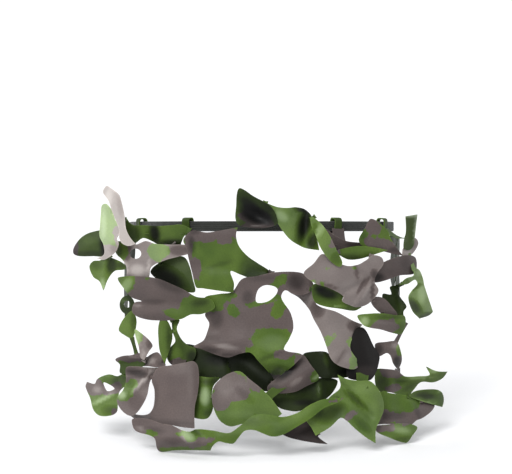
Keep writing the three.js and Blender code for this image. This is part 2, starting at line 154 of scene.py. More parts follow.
def smooth_outline(points):
    """A smooth closed line through the points, with a sharp corner at each tip."""
    count = len(points)
    spots = [Vector(p[:2]) for p in points]
    sharp = [len(p) == 3 for p in points]
    line = []
    for i in range(count):
        a, b = spots[i], spots[(i + 1) % count]
        before, after = spots[i - 1], spots[(i + 2) % count]
        length = (b - a).length
        leave = b - a if sharp[i] else (b - before) * length / (length + (a - before).length)
        if sharp[(i + 1) % count]:
            arrive = b - a
        else:
            arrive = (after - a) * length / (length + (after - b).length)
        steps = max(2, round(length / OUTLINE_STEP))
        for k in range(steps):
            t = k / steps
            line.append(
                a * (2 * t**3 - 3 * t**2 + 1)
                + leave * (t**3 - 2 * t**2 + t)
                + b * (3 * t**2 - 2 * t**3)
                + arrive * (t**3 - t**2)
            )
    return line


def inside(line, u, v):
    hit = False
    previous = line[-1]
    for point in line:
        if (point[1] > v) != (previous[1] > v):
            cross = (previous[0] - point[0]) * (v - point[1]) / (previous[1] - point[1])
            if u < cross + point[0]:
                hit = not hit
        previous = point
    return hit


def clear_of(line, u, v, distance):
    return all((p[0] - u) ** 2 + (p[1] - v) ** 2 > distance * distance for p in line)


def filled(outline, hole):
    """Points and triangles that fill the outline around its hole."""
    spots = [Vector(p) for p in outline]
    edges = [(i, (i + 1) % len(outline)) for i in range(len(outline))]
    if hole:
        start = len(spots)
        spots += [Vector(p) for p in hole]
        edges += [(start + i, start + (i + 1) % len(hole)) for i in range(len(hole))]
    rim = list(spots)
    low_u, high_u = min(p[0] for p in rim), max(p[0] for p in rim)
    low_v, high_v = min(p[1] for p in rim), max(p[1] for p in rim)
    rows = int((high_v - low_v) / (FILL_STEP * HEX_ROW)) + 1
    columns = int((high_u - low_u) / FILL_STEP) + 2
    for row in range(rows):
        v = low_v + row * FILL_STEP * HEX_ROW
        for column in range(columns):
            u = low_u + (column + 0.5 * (row % 2)) * FILL_STEP
            if not inside(outline, u, v) or (hole and inside(hole, u, v)):
                continue
            if clear_of(rim, u, v, RIM_CLEARANCE * FILL_STEP):
                spots.append(Vector((u, v)))
    points, _, faces, *_ = delaunay_2d_cdt(spots, edges, [], 0, 1e-5)
    kept = []
    for face in faces:
        u = sum(points[i][0] for i in face) / 3
        v = sum(points[i][1] for i in face) / 3
        if inside(outline, u, v) and not (hole and inside(hole, u, v)):
            a, b, c = (points[i] for i in face)
            turn = (b[0] - a[0]) * (c[1] - a[1]) - (b[1] - a[1]) * (c[0] - a[0])
            kept.append(list(face) if turn > 0 else list(reversed(face)))
    return points, kept


# How a leaf is bent: each shape says how far a point (u, v) of the flat leaf rises

def smooth(t):
    t = min(max(t, 0), 1)
    return t * t * (3 - 2 * t)


def segment_distance(u, v, a, b):
    along, reach = b - a, Vector((u, v)) - a
    t = min(max(reach.dot(along) / along.length_squared, 0), 1)
    return (reach - along * t).length


def oval_distance(u, v, centre_u, centre_v, radius_u, radius_v, degrees=0):
    """Distance from an oval's centre, where its edge is at 1."""
    c, s = math.cos(math.radians(degrees)), math.sin(math.radians(degrees))
    du, dv = u - centre_u, v - centre_v
    return math.hypot((du * c + dv * s) / radius_u, (dv * c - du * s) / radius_v)


def fold(start_u, start_v, end_u, end_v, width, height):
    """A rounded ridge between two points, or a valley where the height is negative."""
    start, end = Vector((start_u, start_v)), Vector((end_u, end_v))
    def shape(u, v):
        d = segment_distance(u, v, start, end) / width
        return RELIEF * height * math.exp(-d * d)
    return shape


def dome(centre_u, centre_v, radius_u, radius_v, height, degrees=0):
    """A rounded swelling, or a hollow where the height is negative."""
    def shape(u, v):
        d = oval_distance(u, v, centre_u, centre_v, radius_u, radius_v, degrees)
        return RELIEF * height * math.exp(-d * d)
    return shape


def lean(centre_u, centre_v, along_u, along_v):
    """The whole leaf turned out of its plane about the centre."""
    return lambda u, v: along_u * (u - centre_u) + along_v * (v - centre_v)


def roll(start_u, start_v, degrees, radius):
    """The part beyond a line curves away from the viewer."""
    way_u, way_v = math.cos(math.radians(degrees)), math.sin(math.radians(degrees))
    slope = STEEPEST / math.sqrt(1 - STEEPEST * STEEPEST)
    def shape(u, v):
        beyond = max((u - start_u) * way_u + (v - start_v) * way_v, 0)
        round_part = min(beyond, STEEPEST * radius)
        drop = radius - math.sqrt(radius * radius - round_part * round_part)
        return -drop - slope * (beyond - round_part)
    return shape


# The print: which colour shows where; and the painted shade and painted light on it, how dark or pale it
# is

def camo_at(base, patches, u, v):
    """Signed distance in mm to the edge between the colours: positive is green."""
    value = FAR_FROM_PRINT * base
    for sign, *where in patches:
        depth = (1 - oval_distance(u, v, *where)) * min(where[2:4])
        value = max(value, depth) if sign > 0 else min(value, -depth)
    return value


def painted_shading_at(base, shading_ovals, u, v):
    """Painted shade (down to -1) or painted light (up to 1) at a point."""
    value = base
    for amount, *where in shading_ovals:
        value += amount * smooth((SHADING_REACH - oval_distance(u, v, *where)) / SHADING_FADE)
    return min(max(value, -1), 1)


# Materials

def node(tree, kind, inputs=None, **settings):
    """A shader node. Each of its inputs is a value or another node's output."""
    made = tree.nodes.new(kind)
    for key, value in settings.items():
        setattr(made, key, value)
    for key, value in (inputs or {}).items():
        if isinstance(value, bpy.types.NodeSocket):
            tree.links.new(value, made.inputs[key])
        else:
            made.inputs[key].default_value = value
    return made


def sums(tree, operation, a, b=0.0, c=0.0):
    made = node(tree, "ShaderNodeMath", {0: a, 1: b, 2: c}, operation=operation)
    return made.outputs[0]


def spread(tree, value, low, high, to_low=0.0, to_high=1.0, soft=False):
    kind = "SMOOTHSTEP" if soft else "LINEAR"
    limits = {0: value, 1: low, 2: high, 3: to_low, 4: to_high}
    return node(tree, "ShaderNodeMapRange", limits, interpolation_type=kind).outputs[0]


def blended(tree, share, a, b, how="MIX"):
    made = node(tree, "ShaderNodeMix", data_type="RGBA", blend_type=how)
    sockets = [s for s in made.inputs if s.type == "RGBA"]
    for socket, value in zip([made.inputs[0], *sockets], [share, a, b]):
        if isinstance(value, bpy.types.NodeSocket):
            tree.links.new(value, socket)
        else:
            socket.default_value = value
    return next(s for s in made.outputs if s.type == "RGBA")


def product(tree, first, *others):
    for other in others:
        first = sums(tree, "MULTIPLY", first, other)
    return first


def cloudy(tree, where, scale, detail=3.0):
    inputs = {"Vector": where, "Scale": scale, "Detail": detail, "Roughness": 0.6}
    return node(tree, "ShaderNodeTexNoise", inputs).outputs[0]


def threads(tree, where, period, wobble, way="X"):
    """Parallel threads this far apart, in metres: 0 between them and 1 on them."""
    inputs = {"Vector": where, "Scale": WAVE_UNIT / period, "Distortion": wobble}
    return node(tree, "ShaderNodeTexWave", inputs, bands_direction=way).outputs[1]


def printed(tree, key):
    """The numbers that print_on stored on the mesh."""
    return node(tree, "ShaderNodeAttribute", attribute_name=key).outputs["Fac"]


def dress(tree, shader, colour, gloss, relief, strength, depth):
    """Sends a colour, a roughness and a relief to the shader."""
    inputs = {"Height": relief, "Strength": strength, "Distance": depth}
    tree.links.new(colour, shader.inputs["Base Color"])
    tree.links.new(gloss, shader.inputs["Roughness"])
    tree.links.new(node(tree, "ShaderNodeBump", inputs).outputs[0], shader.inputs["Normal"])


def painted(name, colour, roughness, sheen):
    """A new material whose tree holds one principled shader, and that shader."""
    made = bpy.data.materials.new(name)
    made.use_nodes = True
    made.diffuse_color = (*colour, 1)
    shader = made.node_tree.nodes["Principled BSDF"]
    shader.inputs["Base Color"].default_value = (*colour, 1)
    shader.inputs["Roughness"].default_value = roughness
    shader.inputs["Sheen Weight"].default_value = sheen
    shader.inputs["Sheen Roughness"].default_value = 0.5
    shader.inputs["IOR"].default_value = 1.45
    shader.inputs["Specular IOR Level"].default_value = 0.2
    return made, shader


LEAF_GREEN = (0.088, 0.143, 0.021)
DEEP_GREEN = (0.048, 0.087, 0.013)
TAUPE_GREY = (0.108, 0.084, 0.078)
DEEP_TAUPE = (0.085, 0.066, 0.063)
# The next tint is painted light: the pale colour that the lit parts of the cloth are washed towards.
PAINTED_LIGHT_TINT = (0.80, 0.81, 0.76, 1)
CUT_EDGE_LIFT = (1.9, 1.9, 1.8, 1)
CLOTH_THREAD = 0.0006  # spacing of the threads, in metres
ELASTIC_RIB, ELASTIC_KNIT = 0.0011, 0.0009
WAVE_UNIT = 0.3142  # a wave texture's period at scale 1


def cloth_material(name, gain, colour):
    """Printed polyester cloth: two colours with a ragged edge, a fine plain weave and creases, under
    painted shade and painted light.
    """
    made, shader = painted(name, colour, 0.5, 0.02)
    tree = made.node_tree
    flat = node(tree, "ShaderNodeUVMap", uv_map="flat").outputs[0]
    tone = printed(tree, "tone")

    # The print, with its edge wandering by up to a couple of millimetres
    ragged = sums(tree, "MULTIPLY_ADD", cloudy(tree, flat, 150.0), 7.0, -3.5)
    edge = sums(tree, "ADD", printed(tree, "camo"), ragged)
    is_green = spread(tree, edge, -0.22, 0.22, soft=True)
    drift = spread(tree, cloudy(tree, flat, 34.0, 2.0), 0.3, 0.7)
    green = blended(tree, drift, (*DEEP_GREEN, 1), (*LEAF_GREEN, 1))
    taupe = blended(tree, drift, (*DEEP_TAUPE, 1), (*TAUPE_GREY, 1))
    colours = blended(tree, is_green, taupe, green)

    # Dye specks and the weave, then painted shade where the stored numbers darken the cloth and painted
    # light where they make it paler
    speck = spread(tree, cloudy(tree, flat, 900.0, 2.0), 0.35, 0.75, 0.90, 1.10)
    warp = threads(tree, flat, CLOTH_THREAD, 0.4)
    weft = threads(tree, flat, CLOTH_THREAD, 0.4, "Y")
    weave = product(tree, warp, weft)
    lit_weave = spread(tree, weave, 0.0, 1.0, 0.92, 1.05)
    dark = sums(tree, "POWER", spread(tree, tone, -1.0, 0.0, 0.04, 1.0), 1.5)
    painted_light_gain = spread(tree, tone, 0.0, 1.0, 1.0, 3.4)
    level = product(tree, speck, lit_weave, gain, dark, painted_light_gain)
    grey = node(tree, "ShaderNodeCombineColor", {0: level, 1: level, 2: level}).outputs[0]
    shaded = blended(tree, 1.0, colours, grey, "MULTIPLY")
    # Where painted light is stored, the colour is also washed towards that pale tint
    with_painted_light = blended(tree, spread(tree, tone, 0.0, 1.0, 0.0, 0.4), shaded, PAINTED_LIGHT_TINT)

    # The heat-cut edge is a little paler, unevenly
    uneven = spread(tree, cloudy(tree, flat, 400.0), 0.35, 0.7, 0.1, 0.5)
    at_rim = product(tree, spread(tree, printed(tree, "rim"), 0.6, 1.0, soft=True), uneven)
    lighter = blended(tree, 1.0, with_painted_light, CUT_EDGE_LIFT, "MULTIPLY")
    final = blended(tree, at_rim, with_painted_light, lighter)

    gloss = spread(tree, cloudy(tree, flat, 220.0), 0.3, 0.7, 0.46, 0.62)
    relief = sums(tree, "MULTIPLY_ADD", weave, 0.12, cloudy(tree, flat, 120.0, 4.0))
    dress(tree, shader, final, gloss, relief, 0.15, 0.0005)
    return made


def elastic_material(name, colour):
    """Ribbed elastic webbing with glossier covering threads."""
    made, shader = painted(name, colour, 0.6, 0.2)
    tree = made.node_tree
    flat = node(tree, "ShaderNodeUVMap", uv_map="flat").outputs[0]
    ribs = threads(tree, flat, ELASTIC_RIB, 0.6, "Y")
    knit = product(tree, ribs, threads(tree, flat, ELASTIC_KNIT, 1.2))
    worn = cloudy(tree, flat, 60.0)
    share = spread(tree, sums(tree, "ADD", knit, worn), 0.3, 1.6)
    dark = tuple(0.5 * c for c in colour)
    light = tuple(1.7 * c for c in colour)
    final = blended(tree, share, (*dark, 1), (*light, 1))
    dress(tree, shader, final, spread(tree, worn, 0.3, 0.7, 0.5, 0.75), knit, 0.6, 0.0004)
    return made


def thread_material(name, colour):
    """Twisted sewing thread."""
    made, shader = painted(name, colour, 0.55, 0.3)
    tree = made.node_tree
    where = node(tree, "ShaderNodeTexCoord").outputs["Object"]
    twist = threads(tree, where, 0.0006, 1.0, "DIAGONAL")
    dark = tuple(0.6 * c for c in colour)
    final = blended(tree, twist, (*dark, 1), (*colour, 1))
    dress(tree, shader, final, spread(tree, twist, 0, 1, 0.45, 0.65), twist, 0.5, 0.0002)
    return made


# Each slot has its printed face, its duller back (partly a darker print, partly painted shade) and its
# paler cut edge.
SIDES = [("face", 1.0), ("back", 0.62), ("cut", 1.25)]
SLOTS = {
    "green_cloth": (1, 1.0, LEAF_GREEN),
    "taupe_cloth": (-1, 1.0, TAUPE_GREY),
    # The dark green slot is the green print at 0.42 of its brightness: painted shade for the leaves that
    # lie in shade.
    "dark_green_cloth": (1, 0.42, DEEP_GREEN),
}
CLOTHS = {
    slot: [cloth_material(f"{slot}_{side}", gain * slot_gain, colour) for side, gain in SIDES]
    for slot, (_, slot_gain, colour) in SLOTS.items()
}
ELASTIC = elastic_material("elastic_webbing", (0.030, 0.032, 0.028))
THREAD = thread_material("sewing_thread", (0.060, 0.085, 0.040))
GREEN, TAUPE, DARK = "green_cloth", "taupe_cloth", "dark_green_cloth"


# Leaves

def grid(strips, columns, rows=None, around=False):
    """Quads in strips between rows of points. With around, each row closes on itself.

    With as many strips as rows, the last row joins the first.
    """
    faces = []
    for i in range(strips):
        near, far = i * columns, (i + 1) % (rows or strips + 1) * columns
        for k in range(columns if around else columns - 1):
            after = (k + 1) % columns
            faces.append([near + k, far + k, far + after, near + after])
    return faces


def mesh_object(name, points, faces, flats, materials):
    """An object of these points in metres, with its flat cut as a UV map."""
    mesh = bpy.data.meshes.new(name)
    mesh.from_pydata(points, [], faces)
    for material in materials:
        mesh.materials.append(material)
    layer = mesh.uv_layers.new(name="flat")
    for loop in mesh.loops:
        layer.data[loop.index].uv = flats[loop.vertex_index]
    mesh.shade_smooth()
    made = bpy.data.objects.new(name, mesh)
    collection.objects.link(made)
    return made


LEAVES = []
NECK_WIDTH = 3.4
NECK_LAP = 1.5  # how far a neck runs on over or under the leaves that it joins
STACKED_LAP = 1.6  # the same between leaves that lie over each other
NECK_WAIST = 0.3  # the share of its width that a neck loses halfway
NECK_GAP = 0.08  # between a neck's ends and the leaves that they lie on
NECK_INSET = 1.4  # how far inside both outlines such leaves are joined
GAP_COST = 6  # a neck across a gap costs this much more than one between stacked leaves
LONGEST_NECK = 16.0
HARNESS, LEFT, RIGHT = "harness", "left_curtain", "right_curtain"
VEIL, HEM = "front_veil", "front_hem"


def leaf(name, body, layer, slot, outline, hole=None, place=on_curtain, **look):
    """Notes one leaf, from its outline on the layout plane and its look.

    shade and tone: painted shade (below 0) or painted light (above 0), all over and in ovals; paint:
    ovals of green (1) or taupe (-1); shapes: its bends. An oval is its centre, its two radii and its
    turn.
    """
    line = smooth_outline(outline)
    gap = smooth_outline(hole) if hole else None
    points, faces = filled(line, gap)
    LEAVES.append({
        "shade": 0.0, "paint": [], "tone": [], "shapes": [], **look,
        "name": name, "body": body, "layer": layer, "slot": slot, "place": place,
        "line": line, "hole": gap, "points": points, "faces": faces, "necks": [],
        "seed": sum(ord(c) * (i + 1) for i, c in enumerate(name)) % SEEDS,
        "centre": sum((Vector(p) for p in line), Vector((0, 0))) / len(line),
        "u": (min(p[0] for p in line), max(p[0] for p in line)),
        "v": (min(p[1] for p in line), max(p[1] for p in line)),
    })


def height_at(spec, u, v):
    """How far a leaf stands out from the curtain at a point of it."""
    seed = spec["seed"]
    slow = noise.noise(Vector((u / DRIFT_LENGTH, v / DRIFT_LENGTH, seed)))
    small = noise.noise(Vector((u / CREASE_LENGTH, v / CREASE_LENGTH, seed + CREASE_SEED)))
    flat = spec["layer"] * LAYER + DRIFT * slow + CREASE * small
    return flat + sum(shape(u, v) for shape in spec["shapes"])


def meeting(a, b):
    """Where two leaves overlap or come closest: (cost, point on a, point on b)."""
    apart = max(
        max(a[axis][0] - b[axis][1], b[axis][0] - a[axis][1]) for axis in ("u", "v")
    )
    if apart > LONGEST_NECK:
        return None
    best = None
    for p in a["points"]:
        if b["u"][0] < p[0] < b["u"][1] and b["v"][0] < p[1] < b["v"][1]:
            if not inside(b["line"], *p) or (b["hole"] and inside(b["hole"], *p)):
                continue
            if not all(clear_of(spec["line"][::2], *p, NECK_INSET) for spec in (a, b)):
                continue
            cost = abs(height_at(a, *p) - height_at(b, *p))
            if best is None or cost < best[0]:
                best = (cost, Vector(p), Vector(p))
    if best:
        return best
    for p in a["line"][::2]:
        for q in b["line"][::2]:
            distance = (p - q).length
            cost = 2 * distance + GAP_COST
            if distance < LONGEST_NECK and (best is None or cost < best[0]):
                best = (cost, p, q)
    return best


def find_necks(body):
    """Joins the leaves of a body into one tree by the necks left between their cuts."""
    members = [spec for spec in LEAVES if spec["body"] == body]
    links = []
    for i, a in enumerate(members):
        for j in range(i):
            found = meeting(a, members[j])
            if found:
                links.append((found[0], i, j, found[1], found[2]))
    group = list(range(len(members)))
    for _, i, j, on_a, on_b in sorted(links, key=lambda link: link[:3]):
        if group[i] != group[j]:
            old = group[i]
            group = [group[j] if g == old else g for g in group]
            members[i]["necks"].append((members[j], on_a, on_b))


def neck(spec, other, start, end, steps=9):
    """The strip of cloth that bends from one leaf to the next: points, faces and flat places."""
    way, lap = end - start, NECK_LAP
    if way.length < 0.1:
        way, lap = other["centre"] - spec["centre"], STACKED_LAP
        way = way if way.length > 1 else Vector((0, -1))
    way.normalize()
    start, end = start - way * lap, end + way * lap
    from_height, to_height = height_at(spec, *start), height_at(other, *end)
    over, under = NECK_GAP, -CLOTH - NECK_GAP
    from_over = from_height <= to_height
    from_height += over if from_over else under
    to_height += under if from_over else over
    side = Vector((-way[1], way[0]))
    spots = []
    for i in range(steps + 1):
        t = i / steps
        width = NECK_WIDTH * (1 - NECK_WAIST * math.sin(math.pi * t)) / 2
        middle = start.lerp(end, t)
        h = from_height + (to_height - from_height) * smooth(t)
        for across in (-1, 0, 1):
            spot = middle + side * across * width
            spots.append((spot[0], spot[1], h))
    return spots, grid(steps, 3)


def print_on(made, values):
    """Stores the numbers that the cloth material reads at each point."""
    for key, numbers in values.items():
        layer = made.data.attributes.new(key, "FLOAT", "POINT")
        layer.data.foreach_set("value", numbers)


def thicken(made, thickness):
    """Gives an open sheet its thickness, a dull back and a crisp cut edge."""
    mesh = made.data
    uses = {}
    for face in mesh.polygons:
        for key in face.edge_keys:
            uses[key] = uses.get(key, 0) + 1
    sharp = [uses[edge.key] == 1 for edge in mesh.edges]
    mesh.attributes.new("sharp_edge", "BOOLEAN", "EDGE").data.foreach_set("value", sharp)
    thick = made.modifiers.new("cloth", "SOLIDIFY")
    thick.thickness = thickness * MM
    thick.offset = -1
    thick.material_offset = 1
    thick.material_offset_rim = 2


def finish_piece(piece, body, node_name):
    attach(piece, body)
    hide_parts(node_name)


def make_leaf(spec):
    """The leaf's object, with its necks, ready to ride."""
    name, slot, place = spec["name"], spec["slot"], spec["place"]
    points = [(p[0], p[1], height_at(spec, *p)) for p in spec["points"]]
    faces = list(spec["faces"])
    for other, start, end in spec["necks"]:
        more_points, more_faces = neck(spec, other, start, end)
        faces += [[i + len(points) for i in face] for face in more_faces]
        points += more_points
    flats = [(p[0] * MM, p[1] * MM) for p in points]
    made = mesh_object(name + "_cloth", [place(*p) for p in points], faces, flats, CLOTHS[slot])
    rim_count = len(spec["line"]) + len(spec["hole"] or [])
    print_on(made, {
        "camo": [camo_at(SLOTS[slot][0], spec["paint"], *p[:2]) for p in points],
        # painted shade and painted light, at each point
        "tone": [painted_shading_at(spec["shade"], spec["tone"], *p[:2]) for p in points],
        "rim": [1.0 if i < rim_count else 0.0 for i in range(len(points))],
    })
    thicken(made, CLOTH)
    finish_piece(made, spec["body"], name)


# In each leaf below, shade and the ovals of darker and paler are painted shade (below 0) and painted
# light (above 0).
# Over the ears
leaf(
    "left_ear_backing", HARNESS, 0, DARK,
    path("-44,-2 -38,-30 -30,-52 -20,-66! -12,-50 0,-44 14,-58 24,-64 30,-48 28,-26 34,-10 30,-4 0,-9 "
         "-30,-12"), place=over_ear(-1), shade=-0.45,
)
leaf(
    "right_ear_backing", HARNESS, 0, DARK,
    path("-34,-10 -32,-34 -24,-54 -12,-66 -4,-58 4,-42 16,-40 28,-56! 36,-38 34,-18 36,-13 0,-9 -20,-4"),
    place=over_ear(1), shade=-0.45,
)

# Left cheek curtain
leaf(
    "left_ear_petal", LEFT, 6, TAUPE,
    path("-112,27 -113,24 -109,18 -106,10 -103,3 -101,-3 -101,-8 -99,-12 -94,-14 -89,-12.5! -93,-8 "
         "-96,-2 -97,7 -99,16 -101,22 -106,26 -110,28.5"), shade=0.62,
    tone=[(0.4, -110, 17, 4, 14, -15), (-0.2, -100, 14, 3, 12, 10)],
    shapes=[lean(-104, 6, 0.25, 0), roll(-102, 8, 15, 7), roll(-108, 10, 195, 9)],
)
leaf(
    "left_ear_lobe", LEFT, 5, GREEN,
    path("-114,15 -111,16 -107,11.5 -104,4 -100,-3 -103,-9 -101.5,-12 -103,-17 -107,-21 -113,-24 "
         "-118,-23! -112.5,-20 -113,-13 -116,-7 -115.5,2 -115,8"), shade=0.5,
    paint=[(-1, -110, -21, 11, 8), (-1, -101, -7, 4, 7)],
    tone=[(0.3, -113, 2, 3, 14), (-0.25, -104, -16, 5, 6)],
    shapes=[lean(-109, -4, 0.3, -0.1), fold(-112, 12, -111, -18, 4, 1.6), roll(-105, -4, 10, 8)],
)
leaf(
    "left_wing_leaf", LEFT, 3, GREEN,
    path("-136.5,-17 -134,-12 -129,-7 -122,-4 -114,-3.5 -111,-12 -112.5,-21 -121,-21.5 -132,-21.5 "
         "-136,-20"), shade=-0.45,
    paint=[(-1, -137, -17, 5, 9)],
    tone=[(-0.6, -111, -12, 6, 14), (0.12, -124, -10, 7, 4), (-0.25, -124, -20, 14, 3)],
    shapes=[fold(-136, -19, -114, -10, 6, 2.2), lean(-124, -13, -0.25, -0.3)],
)
leaf(
    "left_ear_drop", LEFT, 4, GREEN,
    path("-124,-29 -121,-25 -116,-24.5 -111,-22 -106,-23 -98,-27 -97,-30.5 -105,-32 -110,-38 "
         "-113.5,-46! -116.5,-39.5 -121,-36.5"), shade=0.02,
    tone=[(-0.7, -107, -28, 5, 8), (0.3, -114, -42, 3, 6), (-0.25, -118, -27, 6, 5),
          (-0.5, -99, -28, 5, 4)],
    shapes=[fold(-111, -22, -113.5, -45, 3, 2), lean(-112, -30, -0.2, 0.15)],
)
leaf(
    "left_cheek_strip", LEFT, 2, GREEN,
    path("-97,6 -92,1 -83,0.5 -73,0 -64,0.5 -57,1 -50.5,-1.5! -55,-8 -57,-13! -65,-13.5 -72,-13.5 "
         "-78,-10.5 -84,-8.5 -90,-12 -94,-7 -97,-1"), shade=-0.18,
    tone=[(-0.75, -75.5, -5, 4.5, 9, 10), (-0.55, -62, -12, 12, 4), (-0.4, -90, -6, 6, 8),
          (0.05, -84, -4, 4, 4), (0.05, -62, -3, 9, 4)],
    shapes=[fold(-75, 2, -78, -12, 4, -3), fold(-66, 1, -60, -12, 5, 1.4), roll(-70, -8, -90, 7),
            fold(-88, 2, -88, -10, 4, 1.5)],
)
leaf(
    "left_cheek_trunk", LEFT, 3, TAUPE,
    path("-103,-11 -95,-12 -89,-13 -82,-10.5 -75,-12.5 -65,-13 -55,-13 -50,-14 -51,-19 -57,-21 -68,-24 "
         "-78,-29 -81,-38 -95,-39 -96,-29 -99,-24 -104,-19"),
    hole=oval(-89.5, -19.5, 4.2, 3.6), shade=0.2,
    paint=[(1, -73, -18, 7.5, 7), (1, -101, -18, 6.5, 8)],
    tone=[(-0.55, -98, -18, 7, 8), (0.35, -88, -31, 7, 5), (0.3, -97, -29, 1.5, 7, 20),
          (0.3, -80, -29, 1.5, 7, -10), (-0.3, -58, -17, 9, 5)],
    shapes=[fold(-97, -22, -94, -34, 2.2, 1.5), fold(-81, -24, -80, -34, 2.2, 1.4),
            fold(-79, -14, -76, -24, 3, 1.4), lean(-80, -18, 0, -0.12), roll(-99, -18, 180, 7)],
)
leaf(
    "left_cheek_under_leaf", LEFT, 1, DARK,
    path("-69,-24 -62,-21 -54.5,-22 -51,-28 -48.5,-38 -47,-46 -52,-46.5 -62,-43.5 -72,-39 -79,-33 "
         "-77,-29"), shade=0.03,
    tone=[(0.03, -56, -27, 8, 7), (-0.9, -66, -38, 16, 9, -30)],
    shapes=[lean(-60, -33, 0.25, -0.2)],
)
leaf(
    "left_jaw_drop", LEFT, 3, GREEN,
    path("-92,-60 -97,-64 -101,-70 -102,-74.5 -97,-78 -92,-80.5! -89.5,-73 -89,-66"), shade=-0.05,
    tone=[(-0.3, -91, -68, 3, 10), (0.05, -98, -70, 4, 6)],
    shapes=[roll(-95, -70, 0, 6), lean(-95, -70, 0.3, 0)],
)
leaf(
    "left_jaw_ring", LEFT, 2, DARK,
    oval(-96, -56, 5.5, 6.5),
    hole=oval(-96, -55.5, 2.6, 2.6, 6), shade=-0.35,
    tone=[(0.4, -99, -53, 4, 3)],
)
leaf(
    "left_hem_cup", LEFT, 4, GREEN,
    path("-104.5,-95 -100,-92.5 -93,-91.5 -85.5,-90 -82,-94 -84,-99 -92,-101 -97,-105 -101,-104 "
         "-101,-98.5"), shade=-0.45,
    paint=[(-1, -92, -93, 16, 3.2, 5)],
    tone=[(0.5, -92, -92.5, 14, 2.6, 7), (0.3, -103, -95, 3, 2.5)],
    shapes=[dome(-93, -97.5, 9, 4, -3.2), roll(-93, -94, 92, 4)],
)
leaf(
    "left_hem_leaf", LEFT, 3, GREEN,
    path("-127,-115.5 -126,-112! -120,-113 -118.5,-110 -114.5,-107.5 -109,-106 -103,-107 -96.5,-104 "
         "-95,-111 -101,-117 -102.5,-124 -103,-131.5 -107.5,-134.5 -115.5,-135 -120,-131.5 -123,-123.5"),
    hole=path("-113.5,-111.5 -105,-115.5 -110.5,-117.5"), shade=0.05,
    paint=[(-1, -121, -115, 9, 6.5, -15), (-1, -107, -116, 9, 3.5, 15), (-1, -103, -133, 4, 3)],
    tone=[(-0.45, -101, -110, 8, 6), (0.35, -113, -123, 11, 1.8, 28), (-0.3, -106, -131, 9, 4),
          (-0.2, -108, -112, 8, 4), (0.2, -118, -117, 4, 3)],
    shapes=[fold(-121, -128, -103, -117, 3.2, 2.2), fold(-103, -109, -112, -107, 3, -1.6),
            lean(-112, -120, -0.1, -0.3), roll(-112, -131, -90, 5)],
)

# Right cheek curtain
leaf(
    "right_ear_leaf", RIGHT, 4, DARK,
    path("102,7! 111,8.5! 110,1 109,-8 108,-14 105,-17 101,-16 101,-10 102.5,-4"),
    tone=[(0.45, 110, -2, 1.8, 12, -4), (0.5, 107, 7.5, 6, 1.6, 8)],
    shapes=[roll(107.5, -4, 0, 4), dome(104, -5, 3, 9, -1.8), roll(106, 5, 90, 5)],
)
leaf(
    "right_ear_curl", RIGHT, 3, TAUPE,
    path("107,-9 110,-8.5 112,-12 110,-16.5 106,-20.5 99.5,-21! 100.5,-15.5 105,-13"), shade=0.25,
    tone=[(0.25, 103, -19, 5, 3), (-0.15, 109, -13, 2, 4)],
    shapes=[roll(108, -14, -30, 6), lean(106, -15, -0.2, -0.2)],
)
leaf(
    "right_hanging_leaf", RIGHT, 7, GREEN,
    path("108,-30 112,-31 115,-37 116,-42 123,-61.5! 120,-64 112.5,-66! 107,-60 104,-50.5 106.5,-46 "
         "111,-41 109,-38 103,-41 97,-41.5! 102,-37 108,-35"), shade=0.14,
    tone=[(-0.75, 108, -57, 4.5, 9, 45), (-0.7, 117, -64, 7, 2.2, 12), (0.25, 114, -48, 4, 9),
          (-0.5, 109, -43, 6, 2.2, 20), (0.2, 112, -33, 3, 3), (-0.3, 100, -40, 6, 3)],
    shapes=[fold(113, -44, 117, -60, 5, 2.4), roll(113, -60, -80, 5), lean(110, -48, -0.35, -0.1),
            fold(109, -33, 100, -40, 3, 1.4)],
)
leaf(
    "right_jaw_leaf", RIGHT, 1, DARK,
    path("91,-43 98,-43 97,-48 99,-51 103.5,-57.5 101,-61 102.5,-70! 97,-64 90,-58 86,-53 86,-48 "
         "92,-48.5"), shade=-0.3,
    tone=[(0.35, 100, -58, 4, 6), (0.2, 99, -64, 3, 4)],
    shapes=[fold(94, -46, 99, -64, 4, 2)],
)
leaf(
    "right_neck_curl", RIGHT, 2, TAUPE,
    path("80,-83.5 88,-82 95.5,-82 98.5,-87.5 100,-96 97.5,-103! 93.5,-97.5 91.5,-92 88.5,-90 83,-92"),
    paint=[(1, 98, -87, 3, 6)],
    tone=[(-0.75, 96, -97, 4, 6), (0.2, 95, -85, 4, 3), (-0.55, 82, -87, 5, 5)],
    shapes=[fold(84, -86, 96, -84, 4, 2.2), roll(96, -90, -40, 7)],
)
leaf(
    "right_hem_upper_leaf", RIGHT, 1, GREEN,
    path("81,-102 89,-101.5 96.5,-103 102,-107 112,-107.5 121,-107 118.5,-101! 126,-104.5 135,-105.5! "
         "131,-110 124,-112.5 114,-112 108,-117.5 104,-121 92,-118 82,-116"), shade=-0.12,
    paint=[(-1, 93, -104, 11, 4), (-1, 94, -115, 6, 3)],
    tone=[(-0.5, 86, -112, 7, 9), (0.28, 112, -108.5, 16, 1.6, -1), (0.3, 124, -104, 5, 3),
          (-0.35, 106, -115, 9, 3, 20), (-0.3, 98, -109, 8, 3)],
    shapes=[fold(97, -108, 131, -106, 3.2, 2.4), fold(97, -114, 118, -112, 3, -1.8),
            fold(92, -104, 92, -118, 3, 1.8)],
)
leaf(
    "right_hem_curl", RIGHT, 3, GREEN,
    path("105,-121 109,-118 117,-117 126,-117.5 130,-120 131.5,-125 130,-130! 124,-128 115,-125"),
    shade=-0.2,
    tone=[(-0.5, 117, -121.5, 10, 2.8, -8), (0.35, 118, -125.5, 14, 1.8, -14), (0.3, 128, -119, 4, 2)],
    shapes=[dome(118, -121, 10, 3.2, -2.6, -8), roll(118, -119, 92, 4), roll(127, -122, 0, 5)],
)
